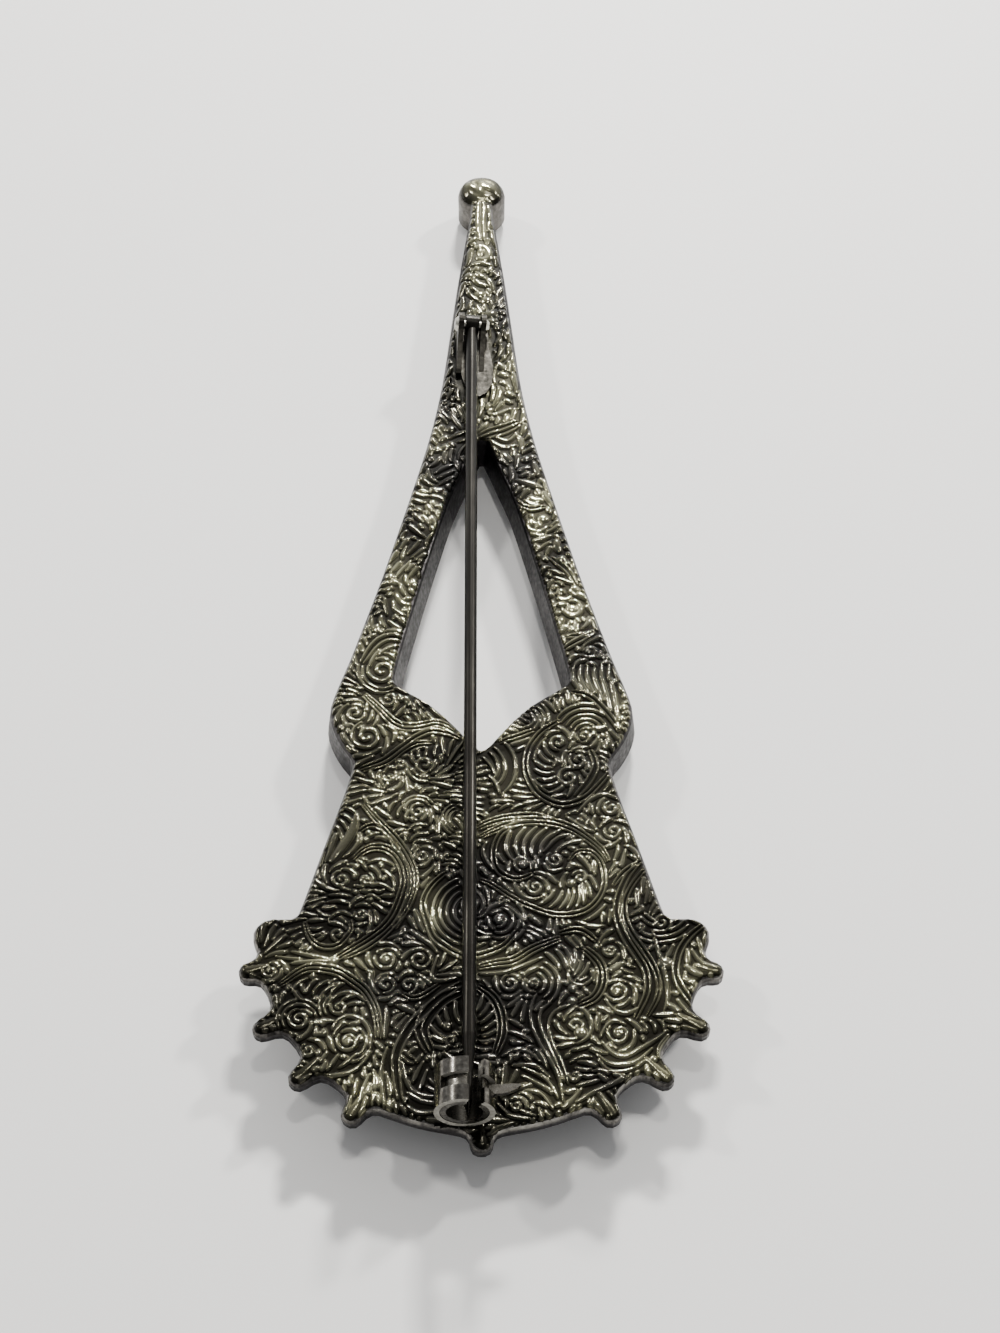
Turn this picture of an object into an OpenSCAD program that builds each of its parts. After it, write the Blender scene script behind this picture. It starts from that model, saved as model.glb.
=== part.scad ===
// A long brooch that lies face down: one casting (cup, neck, two arms, body and clawed fan),
// a pin on a riveted hinge, a turning safety catch, and crystals on the front.
// Millimetres. +Z is up out of the back, +Y runs to the cup, x = 0 is the mirror axis,
// z = 0 is the surface that the crystals' tables rest on.

/* [Casting] */
// Height of the flat back above the table
back_z = 4.6; // [4.5:0.05:4.8]
// Height of the casting's front rim above the table
rim_z = 1.5; // [1.4:0.05:1.6]
// Thickness of the fan's plate
fan_plate = 1.1; // [1.0:0.05:1.2]
// Radius of the fan's round edge
fan_r = 17.9; // [17.8:0.05:18.0]
// How far a claw's lobe stands out of the fan's edge
claw_reach = 1.4; // [1.3:0.05:1.5]
// How far the walls flare outward from back to front
flare = 0.4; // [0.3:0.05:0.45]
// Outer radius of the round cup at the top
cup_r = 2.48; // [2.44:0.01:2.54]

/* [Crystals] */
// Diameter of a rim crystal
rim_crystal_d = 3.6; // [3.4:0.05:3.65]
// Diameter of the crystal in the top cup
cup_crystal_d = 3.7; // [3.5:0.05:3.72]
// Height of the paved front above the table
pave_z = 0.95; // [0.85:0.05:1.1]

/* [Pin and hinge] */
// Radius of the pin's wire
wire_r = 0.55; // [0.5:0.01:0.56]
// Radius of the hinge's rivet
rivet_r = 0.45; // [0.4:0.01:0.47]
// Clearance of the pin's eye round its rivet
eye_gap = 0.05; // [0.03:0.01:0.08]
// Lean of the hinge to the right, in degrees
roll = 8; // [7.5:0.5:9]

/* [Catch] */
// Outer radius of the catch's housing
house_r = 2.3; // [2.28:0.01:2.34]
// Length of the catch along the pin
catch_l = 3.5; // [3.3:0.1:3.6]
// Clearance between the turning ring and its housing
ring_gap = 0.05; // [0.04:0.01:0.08]

/* [Hidden] */
eps = 0.01;
mid_y = -0.85;                 // moves the whole brooch so that y = 0 is the middle of its length
fan_y = -35.4;                 // the fan's centre
cup_y = 53.9;                  // the cup's centre
claw_pitch = 15.4;             // degrees between neighbouring claws
claw_first = -13;              // the highest claw's angle
crystal_ring_r = 14.3;         // radius of the circle that the rim crystals sit on
pin_x = -0.95;                 // the pin runs left of the mirror axis
pin_z = back_z + 1.45;
hinge_y = 31.7;
house_x = pin_x - 0.3;         // the catch's axis
house_z = pin_z + 0.9;
house_y = -51.15;
house_in = house_r - 0.43;
ring_out = house_in - ring_gap;
ring_in = ring_out - 0.42;
slot_w = 1.05;                 // the lever's slot, along the pin
pocket_z = rim_z + 0.85;       // floor of the front pocket

// Names rim_crystal_01 to rim_crystal_10, from the right end of the fan to the left.
function rim_name(i) = str("rim_crystal_", i < 10 ? "0" : "", i);

// ---- Outline tables, right half only ----
// Neck, arm and shoulder: x, y, share of the flare at the front, how far the back's rounding reaches in.
neck_arm = [
    [1.12, 52.2, 0.0, 1.5], [1.15, 51.0, 0.1, 1.5], [1.27, 49.3, 0.3, 1.6], [1.46, 47.6, 0.6, 1.8],
    [1.66, 45.9, 0.8, 2.0], [2.04, 42.6, 1.0, 2.3], [2.44, 38.5, 1.0, 2.3], [2.85, 34.3, 1.0, 2.0],
    [3.25, 30.1, 1.0, 1.6], [3.72, 26.0, 1.0, 1.3], [4.28, 22.0, 1.0, 1.0], [4.94, 18.2, 1.0, 1.0],
    [5.70, 14.6, 1.0, 1.0], [6.62, 10.6, 1.0, 1.0], [7.54, 6.7, 1.0, 1.0], [8.94, 0.9, 1.0, 1.0],
    [10.43, -4.7, 1.0, 1.0], [11.56, -8.8, 1.0, 1.0], [12.42, -11.6, 1.0, 1.0], [12.95, -13.7, 0.9, 1.0],
    [12.88, -15.3, 0.8, 1.0], [12.42, -16.8, 0.6, 1.0], [11.75, -18.1, 0.5, 1.0], [11.08, -19.1, 0.4, 1.0],
    [10.85, -19.8, 0.4, 1.0]];
// Body's side: x, y, share of the flare.
body_side = [
    [10.85, -19.8, 0.4], [10.98, -20.8, 0.5], [11.45, -22.8, 0.8], [12.48, -26.5, 1.0],
    [13.42, -29.9, 1.0], [14.30, -33.2, 0.7], [14.68, -34.4, 0.3]];
// The fan's upper corner: x, y, share of the flare.
fan_corner = [
    [14.68, -34.4, 0.3], [15.20, -34.80, 0.1], [16.60, -34.82, 0.0], [17.58, -35.15, 0.0],
    [18.14, -36.05, 0.0], [18.00, -37.50, 0.0]];
// How much further than the common reach each claw stands out, from the highest to the lowest.
claw_more = [0.25, 0.70, 0.75, 0.50, 0.15];
// One claw's lobe: distance along the fan's edge, distance out of it as a share of the reach.
lobe = [[-1.60, -0.05], [-1.18, 0.08], [-0.93, 0.32], [-0.84, 0.60], [-0.66, 0.85], [-0.30, 0.98], [0, 1.0]];
// Inner edge of the triangular gap, then the neckline's V: x, y.
gap_arm = [
    [0.45, 17.4, 1], [1.20, 15.4, 1], [1.93, 13.2, 1], [3.08, 9.8, 1], [4.35, 4.6, 1], [5.28, 0.6, 1],
    [6.25, -3.8, 1], [7.12, -7.9, 1], [7.55, -10.2, 1], [7.52, -11.1, 1], [7.10, -11.6, 1]];
neckline = [
    [7.10, -11.6, 1], [6.20, -12.3, 1], [4.35, -13.6, 1], [2.45, -15.6, 1], [1.20, -17.2, 1],
    [0.50, -18.1, 1], [0, -18.4, 1]];
// Levels of the casting's wall from front to back: height, growth of the outline, what scales it
// (0 nothing, 1 the flare's share, 2 the rounding's reach).
levels = [
    [rim_z, flare, 1], [back_z - 0.42, 0, 0], [back_z - 0.14, -0.14, 2], [back_z, -0.42, 2]];

// ---- Functions ----
// A smooth curve through stations p, with k steps from each to the next.
function curve(p, k) = let (n = len(p)) [for (i = [0:n - 2], j = [0:k - 1]) let (
    a = p[max(i - 1, 0)], b = p[i], c = p[i + 1], d = p[min(i + 2, n - 1)], t = j / k)
    0.5 * ((2 * b) + (c - a) * t + (2 * a - 5 * b + 4 * c - d) * t * t + (3 * b - a - 3 * c + d) * t * t * t)];
function flat2(p) = [for (q = p) [q[0], q[1]]];
// Closed loop from its right half, whose first and last points lie on x = 0.
function whole(h) = concat(h, [for (i = [len(h) - 2:-1:1]) concat([-h[i][0]], [for (c = [1:len(h[i]) - 1]) h[i][c]])]);
// Loop p grown by g, times each point's third value where w is 1, or its fourth, if any, where w is 2.
function grow(p, g, w) = let (n = len(p)) [for (i = [0:n - 1]) let (
    a = p[(i + n - 1) % n], b = p[i], c = p[(i + 1) % n],
    u = [b[0] - a[0], b[1] - a[1]], v = [c[0] - b[0], c[1] - b[1]],
    nu = [-u[1], u[0]] / norm(u), nv = [-v[1], v[0]] / norm(v),
    k = g * (w == 1 ? b[2] : w == 2 && len(b) > 3 ? b[3] : 1) / max(1 + nu * nv, 0.35))
    [b[0] + k * (nu[0] + nv[0]), b[1] + k * (nu[1] + nv[1]), b[2]]];
function polar(r, a) = [r * cos(a), fan_y + r * sin(a)];
function claw_angle(i) = i < 4 ? claw_first - i * claw_pitch : -90;
// Claw i's lobe, from its upper side to its tip, then down its lower side unless half.
function lobe_side(i, s) = let (a = claw_angle(i)) [for (q = lobe) let (r = fan_r + q[1] * (claw_reach + claw_more[i]))
    [r * cos(a) + s * -q[0] * -sin(a), fan_y + r * sin(a) + s * -q[0] * cos(a), 0]];
function lobe_points(i, half) = let (up = lobe_side(i, 1), down = lobe_side(i, -1))
    half ? up : concat(up, [for (j = [len(down) - 2:-1:0]) down[j]]);
function arc_between(a, b, n) = [for (i = [1:n]) let (t = a + (b - a) * i / (n + 1), q = polar(fan_r - 0.1, t)) [q[0], q[1], 0]];

// Triangles that fill a clockwise loop of point numbers, cut off one corner at a time.
function turn(a, b, c) = (b[0] - a[0]) * (c[1] - a[1]) - (b[1] - a[1]) * (c[0] - a[0]);
function clear_of(p, a, b, c) = turn(a, b, p) > 1e-9 || turn(b, c, p) > 1e-9 || turn(c, a, p) > 1e-9;
function is_ear(pts, loop, i, j, k) = let (a = pts[loop[i]], b = pts[loop[j]], c = pts[loop[k]])
    turn(a, b, c) < -1e-7 && len([for (q = loop) if (q != loop[i] && q != loop[j] && q != loop[k] && !clear_of(pts[q], a, b, c)) 1]) == 0;
function ears(pts, loop, at = 0, found = []) = let (n = len(loop), j = at % n, i = (j + n - 1) % n, k = (j + 1) % n)
    n == 3 ? concat(found, [loop]) : at > 4 * n ? found :
    is_ear(pts, loop, i, j, k)
        ? ears(pts, [for (q = [0:n - 1]) if (q != j) loop[q]], j + 1, concat(found, [[loop[i], loop[j], loop[k]]]))
        : ears(pts, loop, at + 1, found);

// ---- Loops ----
sweep_half = 5.2; // half of a lobe's foot, in degrees
fan_edge = [for (i = [0:4]) each concat(lobe_points(i, i == 4),
    i == 4 ? [] : arc_between(claw_angle(i) - sweep_half, claw_angle(i + 1) + sweep_half, i == 3 ? 5 : 2))];
arm_body = concat(curve(neck_arm, 2), curve(body_side, 2));
outer_half = concat([[0, 52.2, 0, 1.5]], arm_body, curve(fan_corner, 2), fan_edge);
inner_half = concat([[0, 17.4, 1]], curve(gap_arm, 2), curve(neckline, 2), [[0, -18.4, 1]]);
outer_loop = whole(outer_half);
inner_loop = whole(inner_half);
pocket_half = concat([[0, 44.2, 0], [1.95, 44.2, 0]], [for (p = arm_body) if (p[1] < 43.6 && p[1] > -33.5) p],
    [[13.2, -34.5, 0]], [for (a = [-6:-6:-84]) let (q = polar(11.6, a)) [q[0], q[1], 0]], [[0, fan_y - 11.6, 0]]);
pocket_loop = whole(pocket_half);

// ---- Solids ----
module placed(c) {
    color(c) translate([0, mid_y, 0]) children();
}

// Closed wall through the levels, round the outer loop, with the gap's loop as its hole.
module casting_wall() {
    n = len(outer_loop); m = len(inner_loop); nb = len(outer_half) - 1; mb = len(inner_half) - 1;
    s = n + m; top = len(levels) - 1;
    points = [for (l = levels) each concat(
        [for (p = grow(outer_loop, l[1], l[2])) [p[0], p[1], l[0]]],
        [for (p = grow(inner_loop, -l[1], l[2])) [p[0], p[1], l[0]]])];
    // the right and the left half of the flat back, and of the front, each as a loop of point numbers
    right = concat([for (i = [0:nb]) i], [for (i = [mb:-1:0]) n + i]);
    left = concat([for (i = [nb:n]) i % n], [n], [for (i = [m - 1:-1:mb]) n + i]);
    back = [for (half = [right, left]) each ears(points, [for (i = half) top * s + i])];
    front = [for (half = [right, left]) each ears(points, half)];
    sides = [for (l = [0:top - 1]) each concat(
        [for (i = [0:n - 1]) let (j = (i + 1) % n) each [[l * s + j, l * s + s + j, l * s + s + i], [l * s + j, l * s + s + i, l * s + i]]],
        [for (i = [0:m - 1]) let (j = (i + 1) % m, a = l * s + n) each [[a + i, a + s + i, a + s + j], [a + i, a + s + j, a + j]]])];
    polyhedron(points = points, faces = concat(back, [for (f = front) [f[2], f[1], f[0]]], sides), convexity = 12);
}

// What thins the fan to a plate outside its middle disc.
module fan_cut() {
    difference() {
        translate([-30, -70, -1]) cube([60, 70 - 36, back_z - fan_plate + 1]);
        translate([0, fan_y, -2]) cylinder(r = 12.4, h = 12, $fn = 96);
    }
    for (s = [-1, 1]) translate([s > 0 ? 14.4 : -30, -60, -1]) cube([15.6, 60 - 34.6, back_z - fan_plate + 1]);
}

// The front pocket or, shrunk and lifted, what fills it.
module front_slab(g, z0, z1) {
    translate([0, 0, z0]) linear_extrude(z1 - z0)
        difference() {
            polygon(flat2(grow(pocket_loop, g, 0)));
            polygon(flat2(grow(inner_loop, -g, 0)));
        }
}

// Band under the fan that the rim crystals' points sit in.
module crystal_band() {
    translate([0, fan_y, 0]) rotate([0, 0, 192]) rotate_extrude(angle = 156, $fn = 96)
        polygon([[12.0, rim_z - 0.06], [15.9, rim_z - 0.06], [16.1, rim_z + 0.2], [16.1, back_z - fan_plate + 0.2], [12.0, back_z - fan_plate + 0.2]]);
}

module at_rim_crystal(i) {
    a = claw_first - claw_pitch * (i - 0.5);
    translate([crystal_ring_r * cos(a), fan_y + crystal_ring_r * sin(a), 0]) rotate([0, 0, a]) children();
}

// A round crystal of diameter d, table down on z = 0.
module crystal(d) {
    r = d / 2;
    translate([0, 0, 0]) cylinder(r1 = 0.58 * r, r2 = r, h = 0.34 * r, $fn = 12);
    translate([0, 0, 0.34 * r - eps]) cylinder(r = r, h = 0.09 * r + 2 * eps, $fn = 12);
    translate([0, 0, 0.43 * r]) cylinder(r1 = r, r2 = 0.1 * r, h = 0.86 * r, $fn = 12);
}

// Clearance for a crystal's point.
module seat(d) {
    r = d / 2 + 0.07;
    translate([0, 0, 0.43 * d / 2]) cylinder(r1 = r, r2 = 0.1 * r + 0.06, h = 0.86 * r, $fn = 48);
    translate([0, 0, -1]) cylinder(r = r, h = 0.43 * d / 2 + 1 + eps, $fn = 48);
}

// A claw's leg at angle a from its lobe forward and inward to the crystals, ending more further out.
module claw_leg(a, more) {
    lean = atan2(2.51 + more, 2.77);
    translate([0, fan_y, 0]) rotate([0, 0, a]) {
        translate([15.85, 0, 1.05]) rotate([0, lean, 0]) cylinder(r = 0.5, h = norm([2.51 + more, 2.77]), $fn = 24);
        translate([15.85, 0, 1.05]) sphere(r = 0.58, $fn = 32);
        translate([18.36 + more, 0, 3.82]) sphere(r = 0.72, $fn = 32);
    }
}

module prong(a, r) {
    translate([0, fan_y, 0]) rotate([0, 0, a]) translate([r, 0, 0.75]) {
        cylinder(r = 0.4, h = 2.2, $fn = 24);
        sphere(r = 0.46, $fn = 24);
    }
}

// The round cup at the top of the neck, hollow to the front.
module top_cup() {
    b = back_z;
    translate([0, cup_y, 0]) rotate_extrude($fn = 96)
        polygon([[0, b + 0.2], [0.8, b + 0.17], [1.5, b + 0.06], [2.05, b - 0.2], [2.36, b - 0.6], [cup_r, b - 1.1],
            [cup_r - 0.02, 0.75], [cup_r - 0.14, 0.52], [1.97, 0.52], [1.93, 0.7], [1.93, 1.1], [0.4, 2.95], [0, 2.95]]);
}

// Everything that is fixed to the pin's leaning plane.
module at_hinge() {
    translate([pin_x, hinge_y, pin_z]) rotate([0, roll, 0]) children();
}

// An ear's outline as seen from the right: y to the top end, z up, the rivet's axis at the origin.
ear_outline = concat([[1.15, -1.62], [1.15, 0]], [for (a = [15:15:120]) 1.15 * [cos(a), sin(a)]],
    [[-1.15, 0.42], [-2.3, -0.15], [-3.6, -0.62], [-5.2, -0.98], [-5.6, -1.2], [-5.6, -1.62]]);

module bracket() {
    // leaf-shaped foot
    translate([0, 0, back_z - 0.3]) linear_extrude(0.57)
        polygon([[-2.35, 33.1], [0.35, 33.1], [0.62, 32.5], [0.68, 30.0], [1.00, 28.0], [1.18, 26.4], [0.98, 24.8],
            [0.50, 23.6], [-0.20, 23.1], [-1.00, 23.5], [-1.75, 25.0], [-2.25, 27.5], [-2.55, 30.0], [-2.60, 32.6]]);
    at_hinge() for (x = [-1.35, 0.85])
        translate([x, 0, 0]) rotate([90, 0, 90]) linear_extrude(0.5) polygon(ear_outline);
}

module along_catch(h) {
    translate([house_x, house_y + h / 2, house_z]) rotate([90, 0, 0]) children();
}

// Sector from angle a to angle b (from +X, over the top), long enough to cut right through.
module sector(a, b, h, r) {
    linear_extrude(h) polygon(concat([[0, 0]], [for (t = [0:1:6]) let (q = a + (b - a) * t / 6) r * [cos(q), sin(q)]]));
}

module catch_housing() {
    difference() {
        union() {
            along_catch(catch_l) cylinder(r = house_r, h = catch_l, $fn = 96);
            translate([house_x - 1.35, house_y - catch_l / 2 + 0.15, back_z - 0.3]) cube([2.7, catch_l - 0.3, 0.62]);
        }
        along_catch(catch_l + 2) cylinder(r = house_in, h = catch_l + 2, $fn = 96);
        along_catch(catch_l + 2) sector(50, 82, catch_l + 2, 4);
        along_catch(slot_w) sector(-14, 140, slot_w, 4);
    }
}

module casting() {
    placed([0.42, 0.41, 0.38]) difference() {
        union() {
            difference() {
                casting_wall();
                fan_cut();
                front_slab(-0.15, -1, pocket_z);
            }
            crystal_band();
            for (i = [0:4]) claw_leg(claw_angle(i), claw_more[i]);
            for (i = [0:3]) claw_leg(180 - claw_angle(i), claw_more[i]);
            for (i = [0:10]) prong(claw_first - i * claw_pitch, 12.75);
            for (i = [4, 6]) prong(claw_first - i * claw_pitch, 15.75);
            top_cup();
            bracket();
            catch_housing();
        }
        for (i = [1:10]) at_rim_crystal(i) seat(rim_crystal_d);
        at_hinge() translate([-3, 0, 0]) rotate([0, 90, 0]) cylinder(r = rivet_r + 0.02, h = 6, $fn = 48);
    }
}

module hinge_rivet() {
    placed([0.5, 0.49, 0.46]) at_hinge() rotate([0, 90, 0]) {
        translate([0, 0, -1.42]) cylinder(r = rivet_r, h = 2.84, $fn = 48);
        translate([0, 0, 1.38]) cylinder(r1 = 0.78, r2 = 0.5, h = 0.3, $fn = 48);
        translate([0, 0, -1.68]) cylinder(r1 = 0.5, r2 = 0.78, h = 0.3, $fn = 48);
    }
}

// The wire's sections: distance below the rivet, radius.
wire = [[9.7, wire_r], [77.7, wire_r], [81.0, 0.33], [83.2, 0.27], [84.3, 0.07]];

module pin_stem() {
    placed([0.45, 0.44, 0.42]) at_hinge() difference() {
        union() {
            rotate([0, 90, 0]) translate([0, 0, -0.65]) cylinder(r = 1.0, h = 1.3, $fn = 64);
            rotate([90, 0, 0]) translate([0, 0, 0.6]) cylinder(r1 = wire_r + 0.03, r2 = wire_r, h = wire[0][0] - 0.6, $fn = 48);
            for (i = [0:3]) rotate([90, 0, 0]) translate([0, 0, wire[i][0]])
                cylinder(r1 = wire[i][1], r2 = wire[i + 1][1], h = wire[i + 1][0] - wire[i][0], $fn = 48);
        }
        rotate([0, 90, 0]) translate([0, 0, -2]) cylinder(r = rivet_r + eye_gap, h = 4, $fn = 64);
    }
}

module catch_rotor() {
    placed([0.48, 0.47, 0.45]) {
        difference() {
            along_catch(catch_l - 0.06) cylinder(r = ring_out, h = catch_l - 0.06, $fn = 96);
            along_catch(catch_l + 2) cylinder(r = ring_in, h = catch_l + 2, $fn = 96);
            along_catch(catch_l + 2) sector(43, 84, catch_l + 2, 4);
        }
        translate([house_x, house_y, house_z]) rotate([0, -3, 0]) translate([0, 0, -0.22]) linear_extrude(0.44)
            polygon([[ring_in + 0.12, -0.38], [2.7, -0.38], [3.3, -0.26], [3.9, 0.02], [4.2, 0.26], [4.14, 0.38], [3.5, 0.42], [2.7, 0.38], [ring_in + 0.12, 0.38]]);
    }
}

module cup_crystal() {
    placed([0.88, 0.9, 0.93]) translate([0, cup_y, 0]) crystal(cup_crystal_d);
}

module rim_crystal(i) {
    placed([0.88, 0.9, 0.93]) at_rim_crystal(i) crystal(rim_crystal_d);
}

module pave() {
    placed([0.8, 0.82, 0.86]) {
        front_slab(-0.21, pave_z + 0.4, pocket_z - 0.05);
        front_slab(-0.5, pave_z, pave_z + 0.4);
    }
}

casting();
hinge_rivet();
pin_stem();
catch_rotor();
cup_crystal();
pave();
for (i = [1:10]) rim_crystal(i);
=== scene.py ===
import math
import random

import bmesh
import bpy
import numpy as np
from mathutils import Matrix, Quaternion, Vector
from mathutils.bvhtree import BVHTree


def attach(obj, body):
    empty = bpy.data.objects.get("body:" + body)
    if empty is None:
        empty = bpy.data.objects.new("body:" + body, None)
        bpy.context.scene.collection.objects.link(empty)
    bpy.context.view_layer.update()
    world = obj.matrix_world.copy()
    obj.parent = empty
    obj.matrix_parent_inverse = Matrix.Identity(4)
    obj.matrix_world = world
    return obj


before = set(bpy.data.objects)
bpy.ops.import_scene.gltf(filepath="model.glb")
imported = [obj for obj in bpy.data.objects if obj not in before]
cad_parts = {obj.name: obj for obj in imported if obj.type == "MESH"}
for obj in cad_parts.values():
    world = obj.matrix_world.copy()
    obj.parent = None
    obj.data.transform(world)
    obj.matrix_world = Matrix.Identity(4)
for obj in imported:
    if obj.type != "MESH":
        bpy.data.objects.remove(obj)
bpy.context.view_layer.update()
MM = 0.001
rng = np.random.default_rng(7)

# ---------------------------------------------------------------- camera
scene = bpy.context.scene
cam_data = bpy.data.cameras.new("camera")
cam = bpy.data.objects.new("camera", cam_data)
scene.collection.objects.link(cam)
scene.camera = cam
cam_data.sensor_width = 36.0
cam_data.lens = 36.0 * 2100.0 / 1333.0
cam_data.clip_start, cam_data.clip_end = 0.005, 5.0
ELEVATION = math.radians(52.5)
AIM = Vector((0.0, -9.61 - 0.85, 4.6)) * MM
BACK = Vector((0.0, -math.cos(ELEVATION), math.sin(ELEVATION)))
cam.location = AIM + BACK * 183.1 * MM
cam.rotation_mode = "QUATERNION"
# turned a little to the right about its own upright, so the brooch stands left of the middle
cam.rotation_quaternion = (-BACK).to_track_quat("-Z", "Y") @ Quaternion((0, 1, 0), math.radians(-0.505))

BACK_Z = 4.6           # the flat back, mm
FAN = (0.0, -36.25)    # the fan's centre, mm
CUP = (0.0, 53.05)     # the cup's centre, mm

CAM_POS = np.array(cam.location) / MM
CAM_ROT = np.array(cam.rotation_quaternion.to_matrix())


def on_back(p):
    """Points seen at pixels p of the 1000 x 1333 picture, as x, y in mm on the flat back."""
    p = np.asarray(p, float).reshape(-1, 2)
    ray = np.stack([(p[:, 0] - 500.0) / 2100.0, (666.5 - p[:, 1]) / 2100.0, -np.ones(len(p))], axis=1) @ CAM_ROT.T
    t = (BACK_Z - CAM_POS[2]) / ray[:, 2]
    return CAM_POS[:2] + ray[:, :2] * t[:, None]


def mm_per_px(x, y):
    a = on_back([(x - 1, y), (x + 1, y)])
    return abs(a[1, 0] - a[0, 0]) / 2


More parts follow.
